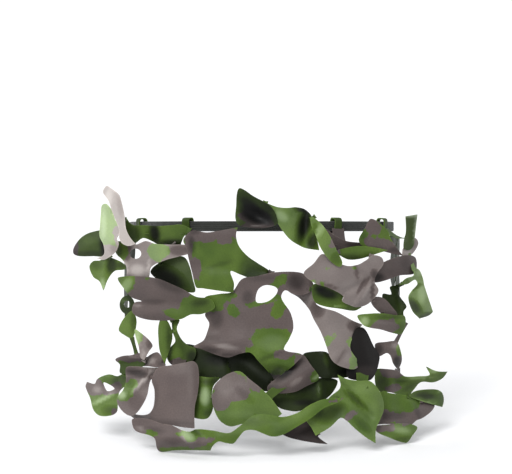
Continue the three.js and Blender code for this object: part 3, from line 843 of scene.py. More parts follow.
leaf(
    "right_hem_mid_leaf", RIGHT, 2, TAUPE,
    path("84,-117 91,-118.5 105,-121 116,-125 124,-128 122,-132 115,-136.5 110,-138 106,-141 98,-140 "
         "86,-139.5 79,-139 82,-128"), shade=-0.02,
    paint=[(1, 96, -124, 17, 8, -8)],
    tone=[(-0.3, 93, -134, 12, 4), (-0.25, 111, -133, 2, 8, 20), (0.05, 106, -123, 7, 3),
          (0.03, 115, -130, 5, 4)],
    shapes=[fold(104, -122, 111, -137, 4, 1.8), fold(90, -120, 92, -138, 4, 1.4),
            lean(102, -130, 0, -0.25)],
)
leaf(
    "right_hem_low_leaf", RIGHT, 3, GREEN,
    path("80,-141 89,-140 98.5,-139.5 106,-140.5 110.5,-143 106.5,-148.5 103,-153.5 97.5,-152.5 "
         "90.5,-149.5 81,-145"), shade=0.02,
    paint=[(-1, 84, -142.5, 10, 2.5), (-1, 99, -140, 8, 1.4)],
    tone=[(0.2, 98, -144, 9, 3, -12), (-0.25, 99, -151, 8, 2.5)],
    shapes=[roll(97, -146, -80, 9), fold(86, -142, 106, -147, 4, 1.6)],
)

# Front veil
leaf(
    "nose_leaf", VEIL, 6, DARK,
    path("-17.5,22 -16,26 -12.5,25 -6,20.5 1.5,16.5 6.5,13 10,6.5 10,1 0,-1.5 -10,-1 -16,0.5 -18.5,5 "
         "-18,14"), shade=-0.33,
    paint=[(-1, -3, -0.5, 13, 3.2), (-1, -4, 5, 12, 6.5, -18)],
    tone=[(-0.9, -3.5, 7.5, 14, 6.6, -20), (-0.5, -9, 15, 9, 4.5, -38), (0.4, -17.6, 8, 1.5, 12),
          (0.3, -16, 25, 3, 2), (0.55, -2, -0.4, 12, 1.3), (-0.3, 4, 13, 7, 2.4, -35)],
    shapes=[dome(-4, 7, 10, 5.5, -4.4, -18), roll(-15, 10, 180, 4), roll(-4, 1, -90, 3.4)],
)
leaf(
    "right_nose_twist", VEIL, 5, GREEN,
    path("2,16 11,13 18,12.5 24,13 30,11.5 34.5,6.5 35,0 38,-8 40,-17! 33,-16 27,-14 19,-9 12,0 9,6 "
         "6,12"), shade=0.05,
    tone=[(-1, 29.5, 1, 5.4, 14, -14), (-0.8, 35, -11, 4.5, 8, -20), (-0.8, 28, 11.5, 7, 2.6, -12),
          (0.2, 13, 7, 7, 4, -30), (0.03, 21, 3, 3, 6, -20)],
    shapes=[fold(30, 13, 29, -12, 4.5, -3.6), fold(17, 12, 20, -8, 5, 1.8), lean(18, 4, -0.12, -0.1),
            fold(36, 4, 37, -12, 3, 2)],
)
leaf(
    "right_cheek_tongue", VEIL, 8, GREEN,
    path("34,6.5 41,1.5 46.5,-6 52,-17 56,-25.5 54.5,-28.5 50,-26.5 44.5,-21 40,-14 37,-6 34,1"),
    shade=0.06,
    paint=[(-1, 50.5, -12, 3.2, 4.5, -60)],
    tone=[(0.22, 40, -3, 3, 9, -35), (-0.22, 52, -23, 5, 6, -30), (-0.2, 36, -4, 2, 7, -10)],
    shapes=[roll(46, -10, 30, 11), roll(42, -13, 210, 9)],
)
leaf(
    "left_nose_leaf", VEIL, 5, GREEN,
    path("-55,-10 -51.5,-5 -48,-3 -39,-4.5 -31,-3.5 -17,-1! -18,-7 -16,-14 -10,-21 -3,-26 6,-32.5 4,-36 "
         "-8,-36.5 -15,-34 -22,-31.5 -19.5,-40 -20,-46.5! -28,-45.5 -42,-43.5 -46,-43 -49,-32 -51.5,-22 "
         "-53,-15"), shade=-0.06,
    paint=[(-1, -36, -6, 22, 4.8, 3), (-1, -27, -9, 6, 4), (-1, -47.5, -29, 5, 8, 12),
           (-1, -51, -16, 3, 8)],
    tone=[(-0.45, -49, -13, 3, 8, 5), (-0.3, -47, -4, 5, 2.5), (0.03, -37, -20, 9, 8),
          (-0.2, -30, -27, 12, 2, 15), (0.05, -8, -26, 8, 3, -35), (0.03, -28, -38, 9, 5)],
    shapes=[fold(-49, -12, -47, -43, 4, -1.2), dome(-36, -36, 9, 8, 1.8),
            fold(-46, -28, -24, -29, 4, -1), fold(-24, -18, 0, -33, 6, 1.4),
            fold(-46, -8, -20, -6, 5, 1), roll(-24, -40, -20, 7)],
)
leaf(
    "right_cheek_patch", VEIL, 3, TAUPE,
    path("44,-2 50,-6 59,-10.5 70,-12 76,-14 70,-17 58,-17 51,-18 47,-9"), shade=-0.12,
    tone=[(-0.4, 66, -13, 9, 3), (0.05, 56, -15, 8, 2)],
    shapes=[lean(58, -12, 0.1, 0.2)],
)
leaf(
    "right_cheek_spindle", VEIL, 5, GREEN,
    path("51,-18 60,-15 69,-14 79,-15 89,-17! 79,-20 69,-23 60.5,-23.5 55,-21"), shade=-0.04,
    tone=[(-0.35, 62, -22, 10, 2.6), (0.05, 72, -16, 12, 2)],
    shapes=[roll(66, -20, -92, 6), fold(54, -19, 85, -17, 4, 1.2)],
)
leaf(
    "right_ear_triangle", VEIL, 4, GREEN,
    path("76,5 80,4 84,1 89,-4 91,-9 95,-15 100,-21! 90,-19 79,-16 70,-13.5 68,-9.5 72,-2"), shade=-0.06,
    paint=[(-1, 76, 1, 9, 5.5, -35), (-1, 88, -16, 17, 6.5, -20)],
    tone=[(-0.35, 94, -17, 6, 3), (0.03, 81, -7, 6, 4), (-0.2, 71, -6, 3, 7, 15)],
    shapes=[lean(84, -9, 0.2, 0), fold(80, 2, 76, -15, 6, 1.6)],
)
leaf(
    "right_big_leaf", VEIL, 7, TAUPE,
    path("42,-19.5 50,-24 55,-26.5 61,-28 67,-27 73,-24 78,-20.5 84,-22 85.5,-26.5 81,-33 79,-39 82,-45 "
         "79.5,-50 74,-55 67,-57 60.5,-55 56,-52.5 57,-49 46,-43 37,-40 29,-33 36,-26"), shade=0.13,
    paint=[(1, 45, -30, 2.4, 0.9, 5), (1, 64, -29, 2.2, 0.7, 5), (1, 37, -39, 4.5, 1, -18)],
    tone=[(-0.5, 80, -35, 3, 6, 30), (-0.35, 71, -41, 1.4, 9, -35), (-0.3, 77.5, -46, 1.3, 8, 0),
          (0.12, 73, -47, 1.4, 9, -25), (-0.18, 66, -32, 1.6, 8, 10), (0.05, 61, -43, 8, 7),
          (0.03, 78, -24, 5, 4), (0.03, 45, -30, 9, 6), (-0.25, 46, -42, 9, 2, -15),
          (0.04, 62, -54, 9, 3)],
    shapes=[fold(79, -36, 66, -56, 1.8, 1.9), fold(79, -36, 58, -46, 2, -1.7),
            fold(79, -34, 66, -28, 2, 1.7), fold(78, -38, 78, -52, 1.9, -1.6),
            fold(54, -28, 50, -43, 7, 1.2), roll(62, -50, -80, 10), fold(40, -38, 34, -28, 6, 1)],
)
leaf(
    "right_cheek_band", VEIL, 6, TAUPE,
    path("85,-26 89,-24 97,-21.5 104,-20.5 109,-22 110.5,-27 109,-33.5 97,-35 88,-38 79,-39.5 77,-35 "
         "80,-30"), shade=-0.16,
    tone=[(-0.55, 81, -36, 7, 4, -10), (0.05, 92, -29, 9, 3), (-0.15, 102, -27, 6, 6),
          (0.04, 106, -22, 5, 2)],
    shapes=[fold(80, -35, 92, -33, 4, -1.6), roll(102, -27, 5, 12), roll(96, -23, 95, 6)],
)
leaf(
    "left_jaw_leaf", VEIL, 5, TAUPE,
    path("-102.5,-37 -96,-35.5 -83,-35.5 -73,-37 -64,-40.5 -55,-44.5 -46,-49.5 -36,-51 -33,-57 "
         "-42,-61.5 -50,-62 -56,-65 -62,-66 -72,-66.5 -81,-66 -89,-63.5 -92,-60 -90,-54 -85,-53 "
         "-92,-50.5 -98,-44"), shade=-0.12,
    paint=[(1, -97, -40, 7, 8, -35), (1, -44, -56, 15, 9, 10), (1, -60, -62, 9, 4, -20),
           (1, -80, -37, 4, 1.2)],
    tone=[(0.3, -96, -42, 5, 9, -35), (-0.3, -64, -42, 14, 5, -20), (0.03, -76, -48, 12, 7),
          (0.25, -88, -56, 5, 2.5), (-0.25, -76, -53, 10, 2.5), (-0.3, -43, -53, 8, 4, 10),
          (-0.15, -42, -57, 12, 7), (0.03, -80, -60, 8, 3)],
    shapes=[fold(-90, -53, -58, -54, 6, -1.6), fold(-92, -45, -56, -48, 8, 1.8),
            fold(-84, -60, -52, -62, 5, 1.5), roll(-93, -50, 190, 12), roll(-76, -61, -95, 9),
            fold(-46, -51, -44, -61, 6, 1.2)],
)
leaf(
    "mouth_panel", VEIL, 4, TAUPE,
    path("-40,-50 -30,-47.5 -21,-46 -14,-37 -4,-35 8,-32.5 22,-32 30,-34 36,-41 32,-47 24,-48 16,-45 "
         "13.5,-50 20,-61 22,-71 19,-79 15.5,-86.5 28,-90 24,-95.5 17,-102 8.7,-109! 4,-102 -2.5,-94.5 "
         "-8,-88.5 -14.5,-89 -24,-92 -34,-89.5 -43,-86 -48,-84.5 -41,-80 -38,-73 -37,-68 -40,-62 "
         "-36,-56"),
    hole=path("-4,-53 -3,-45 1.5,-41.5 8,-42 11,-44.5 9,-49 3,-53"), shade=-0.02,
    paint=[(1, -35, -53, 9, 7, -20), (1, -27, -48.5, 8, 3.5), (1, -20, -59, 5, 4, -30),
           (1, 12, -39, 8, 3.4, 40), (1, 12, -57, 9, 5, 65), (1, 2, -52, 12, 2.4, 15),
           (1, 10, -82, 18, 10.5, -12), (1, 0, -94, 14, 8, -40), (1, 14, -95, 9, 9),
           (-1, 17, -89, 9, 3.6, 15), (1, -21, -39, 3.5, 1.2)],
    tone=[(-0.45, 24, -39, 9, 7), (-0.35, -32, -64, 6, 9), (-0.15, -38, -80, 12, 6),
          (0.1, 8, -82, 13, 8), (0.03, -18, -70, 12, 12), (0.2, -28, -84, 14, 2.6, -8),
          (-0.4, -38, -87, 11, 3), (-0.35, -20, -90, 12, 2), (-0.3, 6, -91, 12, 2, 20),
          (-0.45, 9, -103, 8, 3, 45), (0.04, -6, -82, 7, 5), (-0.2, 0, -36, 18, 3), (0.04, 7, -52, 8, 3),
          (-0.3, -10, -50, 5, 6)],
    shapes=[fold(-40, -82, -6, -80, 6, 1.8), fold(-20, -46, -30, -72, 8, -1.4),
            fold(0, -60, 10, -90, 9, 1.6), roll(-30, -86, -100, 6), fold(14, -52, 22, -74, 5, -1.2),
            fold(24, -34, 30, -46, 4, -1.5), fold(-2, -90, 8, -106, 4, 1.6)],
)
leaf(
    "chin_tongue", VEIL, 5, TAUPE,
    path("22,-36 30,-38 37,-48 38,-55 52,-60 64,-66.5 71,-69.5! 67,-74 63,-80 62,-86 66,-92.5 69,-97 "
         "65,-100.5 57,-99 51,-96 47.5,-91.5 45,-84 41,-74 36,-65 33,-58.5 26,-50.5 18,-45"), shade=0.14,
    paint=[(1, 48, -80, 1.8, 4.6, -40), (1, 46, -78, 2.2, 2.2), (1, 66, -92, 4, 9.5, -18),
           (1, 62, -81, 2.4, 4)],
    tone=[(-0.75, 27, -42, 9, 6, -30), (-0.35, 39, -58, 6, 7), (0.03, 52, -74, 9, 10),
          (0.05, 60, -92, 6, 5), (-0.3, 64, -70, 5, 4), (-0.12, 55, -92, 2, 9, -35)],
    shapes=[fold(46, -66, 58, -96, 8, 2), roll(60, -84, 5, 13), roll(50, -84, 190, 12),
            fold(28, -42, 36, -56, 5, -1.4), fold(50, -92, 60, -86, 3, 0.7)],
)
leaf(
    "chin_green_leaf", VEIL, 6, GREEN,
    path("35.5,-41 44.5,-41 57,-48 56,-52.5 61,-55 70,-57! 65,-59.5 55,-58 43,-56 37,-53 35,-47"),
    shade=-0.2,
    tone=[(-0.7, 45, -47, 10, 4.5, -15), (0.35, 52, -56, 16, 1.7, -3), (-0.4, 40, -43, 5, 3),
          (-0.2, 62, -56, 8, 2.5)],
    shapes=[dome(48, -49, 12, 5, -2.2, -15), roll(52, -54, -92, 5)],
)
leaf(
    "right_chin_leaf", VEIL, 6, GREEN,
    path("67,-63 75,-61.5 85,-61.5 95,-63 101,-63.5 102,-69 99,-76.5 92,-75.5 84,-73 76,-71.5 71,-69.5"),
    shade=0.02,
    paint=[(-1, 87, -71, 10, 5.4, 8)],
    tone=[(0.35, 72, -67, 4, 4), (-0.35, 90, -64, 14, 2.6), (0.04, 84, -67, 9, 3), (-0.2, 99, -72, 4, 5)],
    shapes=[roll(86, -70, -85, 10), fold(74, -64, 98, -66, 5, 1.8), roll(98, -68, 0, 7)],
)
leaf(
    "right_jaw_patch", VEIL, 5, TAUPE,
    path("77,-54 80,-50 86,-51 92,-57 96,-63 85,-62"), shade=-0.02,
    shapes=[lean(86, -57, 0.1, 0.2)],
)
leaf(
    "right_chin_under_leaf", VEIL, 4, DARK,
    path("66,-72 72,-72 79,-85 83,-91 82.5,-97 80,-104 76,-108.5 67,-108.5 60,-106 60,-97 61,-86"),
    shade=-0.75,
    paint=[(-1, 70, -90, 30, 40)],
    tone=[(0.3, 73, -102, 9, 5), (-0.3, 63, -98, 5, 9), (0.03, 80, -94, 3, 9)],
    shapes=[fold(68, -76, 76, -106, 8, 2.2)],
)
leaf(
    "left_jaw_twist", VEIL, 5, TAUPE,
    path("-90,-73 -86,-75 -80,-80 -77,-84.5 -79.5,-88 -83,-94.5! -85.5,-93 -87,-85 -89,-79"), shade=0.12,
    paint=[(1, -89, -77, 4.5, 10, -12)],
    tone=[(0.3, -88, -78, 2.5, 8), (-0.3, -79, -83, 3, 5), (0.2, -84, -91, 2, 5)],
    shapes=[fold(-88, -74, -84, -92, 3, 1.8), roll(-81, -83, 0, 5)],
)
leaf(
    "left_jaw_spindle", VEIL, 4, GREEN,
    path("-71,-65 -67,-66 -63.5,-73 -63,-79 -65,-87 -68.5,-97! -72,-88 -73,-79 -73,-71"), shade=-0.15,
    tone=[(-0.3, -65, -80, 2.4, 14), (0.05, -70, -76, 2, 11)],
    shapes=[fold(-69, -66, -69, -94, 3, 2), roll(-66, -80, 0, 4)],
)
leaf(
    "left_chin_strip", VEIL, 2, GREEN,
    path("-63,-66 -58,-66 -60,-72 -57,-79 -52,-84 -47,-86 -47,-92 -52,-97 -63,-98 -67,-93 -65,-86 "
         "-61,-81 -63,-74"), shade=-0.35,
    paint=[(-1, -60, -96, 5, 3.5)],
    tone=[(0.3, -60, -90, 5, 6), (-0.4, -49, -92, 5, 6), (0.4, -61, -72, 2, 8)],
    shapes=[fold(-61, -68, -60, -94, 4, 2)],
)
leaf(
    "left_hem_strip", VEIL, 3, TAUPE,
    path("-74,-89 -80.5,-92 -86,-98.5 -80,-99 -73,-99.5 -68,-98 -71,-92"),
    tone=[(0.25, -80, -95, 6, 3), (-0.3, -71, -97, 4, 3)],
    shapes=[lean(-77, -95, 0.2, -0.4)],
)
leaf(
    "chin_under_band", VEIL, 1, DARK,
    path("-56,-84 -47,-84 -34,-88 -22,-91 -21.5,-97 -22,-106 -34,-107 -46,-106 -56,-98"), shade=-0.55,
    tone=[(-0.3, -30, -94, 12, 5), (0.3, -23, -100, 1.8, 9), (0.05, -40, -102, 8, 3)],
    shapes=[roll(-28, -98, 10, 6)],
)
leaf(
    "chin_under_leaf", VEIL, 0, DARK,
    path("-22,-90 -12,-87 -5,-89 2,-98 8,-107 10,-114 2,-116 -8,-111 -16,-106 -24,-107"), shade=-0.75,
    shapes=[fold(-16, -94, 4, -108, 6, 2)],
)
leaf(
    "chin_roll", VEIL, 2, TAUPE,
    path("28,-90 34,-97 40,-107 31,-112.5 22,-116.5 5,-116.5 4,-112 14,-104 22,-97"), shade=-0.15,
    paint=[(1, 38, -105, 4, 5, -50)],
    tone=[(-0.8, 17, -101, 12, 5, 40), (0.25, 24, -109, 9, 3.5, 35), (0.4, 38, -106, 2, 5, -50),
          (-0.3, 8, -113, 6, 3)],
    shapes=[fold(10, -114, 36, -100, 6, 3.2), roll(30, -110, -60, 6)],
)
leaf(
    "chin_right_under_leaf", VEIL, 1, DARK,
    path("29,-90 40,-88 46,-89 52,-96 60,-99 66,-101 62,-106 50,-107 40,-106 34,-97"), shade=-0.6,
    tone=[(0.4, 45, -94, 2.4, 6, 10), (-0.35, 58, -103, 7, 3)],
    shapes=[fold(44, -90, 48, -104, 3, 2)],
)
leaf(
    "hem_under_leaf", VEIL, 0, DARK,
    path("4,-117 22,-116 31,-112 40,-107 53,-108.5 52,-114 46,-121 34,-126 26,-130 16,-129 10,-126"),
    shade=-0.4,
    tone=[(0.5, 40, -115, 2.4, 7), (0.4, 16, -119, 10, 3), (-0.4, 30, -124, 10, 3)],
    shapes=[fold(40, -109, 42, -122, 3, 2), fold(8, -118, 26, -117, 3, 1.8)],
)

# Front hem
leaf(
    "left_hem_petal", HEM, 7, TAUPE,
    path("-96,-100 -90,-99 -80,-99.5 -73,-100! -78.5,-109 -80.5,-118 -84,-125.5 -89,-132 -93,-133.5 "
         "-98,-131 -102,-126 -102.5,-121.5 -98,-115.5 -96,-109"), shade=0.05,
    paint=[(1, -97, -117, 6.5, 6, 35), (1, -91, -111, 4, 3.4, 30)],
    tone=[(-0.6, -88, -103.5, 11, 3.4, -10), (0.4, -99, -119, 4, 3.5), (0.4, -84, -109, 14, 1.6, 47),
          (-0.2, -93, -110, 4, 4), (-0.1, -88, -124, 7, 7)],
    shapes=[fold(-76, -101, -98, -121, 3.4, 2.4), fold(-92, -104, -80, -104, 4, -1.5),
            roll(-84, -118, 15, 10), roll(-97, -124, 200, 8)],
)
leaf(
    "left_hem_panel", HEM, 6, TAUPE,
    path("-73,-99.5 -64,-97.5 -54,-95.5 -48,-94.5 -45,-97.5 -44,-107 -45,-117 -47,-127 -47,-141! "
         "-54,-140.5 -64,-139 -76,-138 -90,-137 -95,-134 -84,-133.5 -79,-131.5 -76,-126 -75.5,-115 "
         "-77.5,-108"),
    tone=[(0.04, -58, -100, 11, 5), (-0.22, -64, -138, 22, 3), (0.03, -50, -110, 3, 12),
          (-0.18, -75, -118, 3, 12), (-0.3, -84, -136, 9, 2)],
    shapes=[fold(-62, -96, -60, -140, 18, 3.2), roll(-50, -112, 0, 11), roll(-58, -99, 95, 8),
            roll(-72, -114, 180, 9)],
)
leaf(
    "left_hem_curl", HEM, 4, GREEN,
    path("-48,-106 -37,-106 -29.5,-106.5 -34,-112 -35,-119 -34,-126.5 -37.5,-134 -43,-135 -49,-133 "
         "-50,-125 -49,-117"), shade=-0.05,
    tone=[(0.38, -40, -119, 5, 8), (-0.45, -36, -109, 9, 3), (-0.4, -36, -131, 6, 4),
          (-0.1, -45, -126, 2, 8)],
    shapes=[dome(-40, -120, 4.5, 12, 2.6), roll(-38, -118, 0, 5)],
)
leaf(
    "centre_hem_round", HEM, 5, GREEN,
    path("-15.5,-101.5 -22,-102.5 -28,-106 -33.5,-112 -35,-119 -34,-126.5 -30.5,-134.5 -26,-138.5 "
         "-21.5,-140 -15.5,-138.5 -5,-136 6,-136 14,-131! 7,-121 -1,-113 -8.5,-107"), shade=0.03,
    paint=[(-1, -22, -112, 14, 10, -20), (-1, -29, -122, 7, 7), (-1, -6, -111, 7, 3, -40)],
    tone=[(0.04, -26, -112, 7, 8), (-0.15, -12, -118, 9, 3, -40), (0.03, -14, -131, 12, 4)],
    shapes=[roll(-28, -120, 180, 14), dome(-16, -120, 14, 12, 2), roll(-18, -132, -90, 12)],
)
leaf(
    "front_hem_ribbon", HEM, 8, GREEN,
    path("-91,-135.5 -80,-135 -70,-138 -63,-139 -56,-142 -50,-143 -46,-141.5 -34,-142 -23,-143.5 "
         "-15,-138.5 -6,-131.5 4,-131 14,-132.5 24,-130 34,-124 43.5,-120.5 57,-120! 53,-123 "
         "43.5,-126.5 34,-133.5 24,-139.5 14,-145 7,-146 1,-144 -5.5,-141.5 -12,-142 -16.5,-147 "
         "-20,-151 -25.5,-150.5 -30,-149.5 -34,-152.5 -36,-156.5! -48,-156.5 -61,-157 -71,-158.5 "
         "-73.5,-156.5 -75.5,-148 -88,-144 -90.5,-141"),
    paint=[(-1, -80, -140, 24, 8), (-1, -68, -152, 16, 9), (-1, -43, -150.5, 12, 3, 12),
           (1, -56, -157, 16, 2.4), (1, -79, -145, 6, 2.2, -15), (-1, 51, -122, 7.5, 1.3, 8)],
    tone=[(0.4, -52, -146, 7, 4.5, -35), (-0.4, -47, -142.5, 7, 2, -30), (-0.25, -76, -143, 11, 3),
          (-0.15, -62, -150, 8, 4), (0.04, 20, -135, 20, 4, 28), (-0.15, -6, -136, 14, 3),
          (0.25, -82, -143, 7, 2, -15), (-0.1, -20, -146, 14, 3)],
    shapes=[dome(-52, -146, 6, 4, 3, -35), fold(-46, -142, -36, -148, 3, -1.6),
            fold(-70, -148, -40, -152, 4, 1.4), fold(-30, -147, 10, -138, 7, 2),
            fold(14, -138, 44, -124, 5, 1.4), roll(-8, -146, -92, 9)],
)
leaf(
    "right_hem_star", HEM, 6, GREEN,
    path("53,-104! 59,-107 68,-108.5 76,-109 82,-115 85.5,-123 85.5,-130 83,-136 80,-142.5 79.5,-152! "
         "73,-148 66,-142.5 59,-136 55,-134 47.5,-140.5 37.5,-146! 34.5,-140.5 31,-134.5 39,-128 "
         "48,-119 55,-113"), shade=0.04,
    paint=[(-1, 61, -133.5, 5, 2.2, 30)],
    tone=[(-0.42, 66, -122, 11, 2.4, -42), (-0.4, 49, -131, 12, 7, 20), (-0.45, 38, -128, 6, 8),
          (0.04, 70, -114, 10, 5), (0.03, 78, -130, 4, 9), (-0.2, 70, -139, 9, 3, -40),
          (0.03, 45, -139, 5, 5)],
    shapes=[fold(56, -112, 76, -134, 2.8, -2.6), fold(64, -110, 82, -128, 6, 1.8),
            fold(60, -134, 78, -148, 3.4, 1.6), roll(80, -124, 0, 9), dome(46, -134, 10, 7, -1.6),
            fold(56, -122, 46, -140, 5, -1.2)],
)
leaf(
    "centre_hem_under_leaf", HEM, 3, DARK,
    path("12,-143 22,-138 31,-134 36,-141 39,-147 46,-152.5! 37,-151.5 24,-149 16,-146.5"), shade=-0.25,
    paint=[(-1, 26, -142, 25, 20)],
    tone=[(0.2, 26, -142, 8, 3, 30)],
    shapes=[fold(18, -143, 40, -150, 4, 1.6)],
)

for body_name in (LEFT, RIGHT, VEIL, HEM):
    find_necks(body_name)
for leaf_spec in LEAVES:
    make_leaf(leaf_spec)


# Harness: the ribbed elastic band, its lap, and the four cloth loops round it

RIB_DEPTH = 0.28  # the share of the webbing's thickness that its ribs take up
EDGE_ROUND = 0.7  # how far in from its edges the webbing gets thinner
PUCKER = 0.10
WEAVE_RADIUS, WEAVE_STEP = 0.1, 0.0004  # scale of the weave round the band and across it

def band_point(angle, out, up):
    """A point near the band, in metres; angle 0 is at the front."""
    x = (BAND_HALF_WIDTH + out) * math.sin(angle)
    y = -(BAND_HALF_DEPTH + out) * math.cos(angle)
    return Vector((x, y, up - BAND_FALL * y)) * MM


def band_way(x):
    """The band's direction where it passes x."""
    angle = math.asin(x / BAND_HALF_WIDTH)
    return (band_point(angle + 0.01, 0, 0) - band_point(angle - 0.01, 0, 0)).normalized()


def webbing_section(half_thick, half_tall, ribs=5, steps=6):
    """The outline of ribbed webbing across its length: (out, up) in mm, all the way round."""
    side = []
    count = ribs * steps
    for i in range(count + 1):
        share = i / count
        swell = abs(math.sin(math.pi * ribs * share))
        edge = min(share, 1 - share) * half_tall * 2
        round_off = min(1, math.sqrt(max(edge, 0.02) / EDGE_ROUND))
        out = half_thick * (1 - RIB_DEPTH + RIB_DEPTH * swell) * round_off
        side.append((out, half_tall * (2 * share - 1)))
    return side + [(-out, up) for out, up in reversed(side)]


def webbing_ring(name, start, end, lift, segments, closed):
    section = webbing_section(BAND_THICKNESS / 2, BAND_HEIGHT / 2)
    count = len(section)
    points, flats = [], []
    rings = segments if closed else segments + 1
    for i in range(rings):
        angle = start + (end - start) * i / segments
        ripple = PUCKER * math.sin(angle * 90) * math.sin(angle * 7 + 1)
        for k, (out, up) in enumerate(section):
            points.append(band_point(angle, lift + out + ripple, up))
            flats.append((angle * WEAVE_RADIUS, k * WEAVE_STEP))
    faces = grid(segments, count, rings, around=True)
    if not closed:
        faces.append(tuple(range(count)))
        faces.append(tuple(reversed(range(rings * count - count, rings * count))))
    return mesh_object(name, points, faces, flats, [ELASTIC])


def thread_line(name, runs, radius=0.22):
    """Stitches: a thin round thread along each run of points."""
    curve = bpy.data.curves.new(name, "CURVE")
    curve.dimensions = "3D"
    curve.bevel_depth = radius * MM
    curve.bevel_resolution = 2
    for run in runs:
        spline = curve.splines.new("POLY")
        spline.points.add(len(run) - 1)
        for point, spot in zip(spline.points, run):
            point.co = (*spot, 1)
    curve.materials.append(THREAD)
    made = bpy.data.objects.new(name, curve)
    collection.objects.link(made)
    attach(made, HARNESS)


head_band = webbing_ring("head_band_webbing", 0, 2 * math.pi, 0, 320, True)
finish_piece(head_band, HARNESS, "head_band")

LAP_ANGLE = LAP_LENGTH / 2 / BAND_HALF_WIDTH
LAP_LIFT = BAND_THICKNESS + 0.35
TACK_INSET, TACK_HALF_WIDTH, TACK_HALF_HEIGHT = 0.026, 0.008, 2.8
BOX_INSET, BOX_HALF_HEIGHT = 0.035, 2.2
lap = webbing_ring(
    "band_lap_webbing", math.pi - LAP_ANGLE, math.pi + LAP_ANGLE, LAP_LIFT, 40, False
)
finish_piece(lap, HARNESS, "band_lap")


def lap_stitches():
    """Zigzag bar tacks across both ends of the lap, and a box between them."""
    runs = []
    top = LAP_LIFT + BAND_THICKNESS / 2 + 0.12
    for end in (-1, 1):
        run = []
        for i in range(13):
            aside = TACK_HALF_WIDTH if i % 2 else -TACK_HALF_WIDTH
            angle = math.pi + end * (LAP_ANGLE - TACK_INSET) + aside
            run.append(band_point(angle, top, TACK_HALF_HEIGHT * (i / 6 - 1)))
        runs.append(run)
    for up in (-BOX_HALF_HEIGHT, BOX_HALF_HEIGHT):
        steps = 14
        for i in range(0, steps, 2):
            span = 2 * (LAP_ANGLE - BOX_INSET)
            first = math.pi - span / 2 + span * i / steps
            second = first + span / steps
            runs.append([band_point(first, top, up), band_point(second, top, up)])
    return runs


thread_line("band_lap_stitches", lap_stitches())


LOOP_DEEP, LOOP_TALL = 1.7, 1.6  # how far a loop's outside is from the band's faces and edges
LOOP_HALF_WIDTH = 2.9
LOOP_CLOTH = 0.9  # thickness of a loop's doubled cloth
SQUARENESS = 0.45  # 1 would make the loop's section an oval


def band_loop(name, x):
    """A soft folded cloth loop round the band, with rounded corners and two rows of stitches."""
    angle = math.asin(x / BAND_HALF_WIDTH)
    centre = band_point(angle, 0, 0)
    along = band_way(x)
    up = (Vector((0, 0, 1)) - along * along.z).normalized()
    out = along.cross(up)
    if out.dot(Vector((math.sin(angle), -math.cos(angle), 0))) < 0:
        out = -out
    outer_deep, outer_tall = BAND_THICKNESS / 2 + LOOP_DEEP, BAND_HEIGHT / 2 + LOOP_TALL
    count, widths = 40, 9
    points, flats = [], []
    for j in range(widths):
        share = j / (widths - 1) * 2 - 1
        pinch = 1 + 0.05 * share * share
        for i in range(count):
            turn = 2 * math.pi * i / count
            c, s = math.cos(turn), math.sin(turn)
            deep = outer_deep * math.copysign(abs(c) ** SQUARENESS, c) * pinch
            tall = outer_tall * math.copysign(abs(s) ** SQUARENESS, s)
            wave = 0.12 * math.sin(3 * turn + x) * share
            across = share * LOOP_HALF_WIDTH
            points.append(centre + (out * (deep + wave) + up * tall + along * across) * MM)
            flats.append((across * MM, i * 0.7 * MM))
    faces = [[a, d, c, b] for a, b, c, d in grid(widths - 1, count, around=True)]
    made = mesh_object(name + "_cloth", points, faces, flats, CLOTHS[GREEN])
    print_on(made, {
        "camo": [6.0 if point.z > centre.z - 0.002 else -4.0 for point in points],
        # painted shade: the loop a little darker all over
        "tone": [-0.1] * len(points),
        "rim": [0.0] * len(points),
    })
    thicken(made, LOOP_CLOTH)
    finish_piece(made, HARNESS, name)
    runs = []
    for row in (-2.0, 2.0):
        face = centre + (out * (outer_deep + 0.1) + along * row) * MM
        for low in (-3.0, -1.3, 0.4, 2.1):
            runs.append([face + up * (low + tall) * MM for tall in (0.0, 1.0)])
    thread_line(name + "_cloth_stitches", runs, 0.18)


EAR_LOOP_X, CHEEK_LOOP_X = 86, 52
band_loop("band_loop_left_ear", -EAR_LOOP_X)
band_loop("band_loop_left_cheek", -CHEEK_LOOP_X)
band_loop("band_loop_right_cheek", CHEEK_LOOP_X)
band_loop("band_loop_right_ear", EAR_LOOP_X)


# Tongues of the sheet that pass between bodies: from the loops to the curtains, and to the hem

TONGUE_WIDTH = 10.4
TONGUE_WAIST = 0.12  # the share of its width that a tongue loses halfway
TONGUE_GAP = 0.1  # between a tongue and the leaf in front of it
TONGUE_START = (3.1, -1.5)  # out and up from the band's middle, on the outside of a loop
BY_NAME = {spec["name"]: spec for spec in LEAVES}


def tongue(name, bodies, start, start_side, end, end_side, camo, sag, steps=14):
    """A strip that spans from one body to the other, attached to neither: ends and sides in metres.
    bodies is not used.
    """
    points, flats = [], []
    length = (end - start).length
    for i in range(steps + 1):
        t = i / steps
        swell = math.sin(math.pi * t)
        middle = start.lerp(end, t) - Vector((0, 0, sag * MM * swell))
        side = start_side.lerp(end_side, t).normalized() * TONGUE_WIDTH / 2 * MM
        for k in range(5):
            across = (k / 2 - 1) * (1 - TONGUE_WAIST * swell)
            points.append(middle + side * across)
            flats.append((across * TONGUE_WIDTH / 2 * MM, t * length))
    made = mesh_object(name + "_cloth", points, grid(steps, 5), flats, CLOTHS[GREEN])
    print_on(made, {
        "camo": [camo] * len(points),
        # painted shade: the strip darker all over, as it lies behind the leaves
        "tone": [-0.2] * len(points),
        "rim": [1.0 if i % 5 in (0, 4) else 0.0 for i in range(len(points))],
    })
    thicken(made, CLOTH)
    tuple(start)
    tuple(end)
    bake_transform(made)


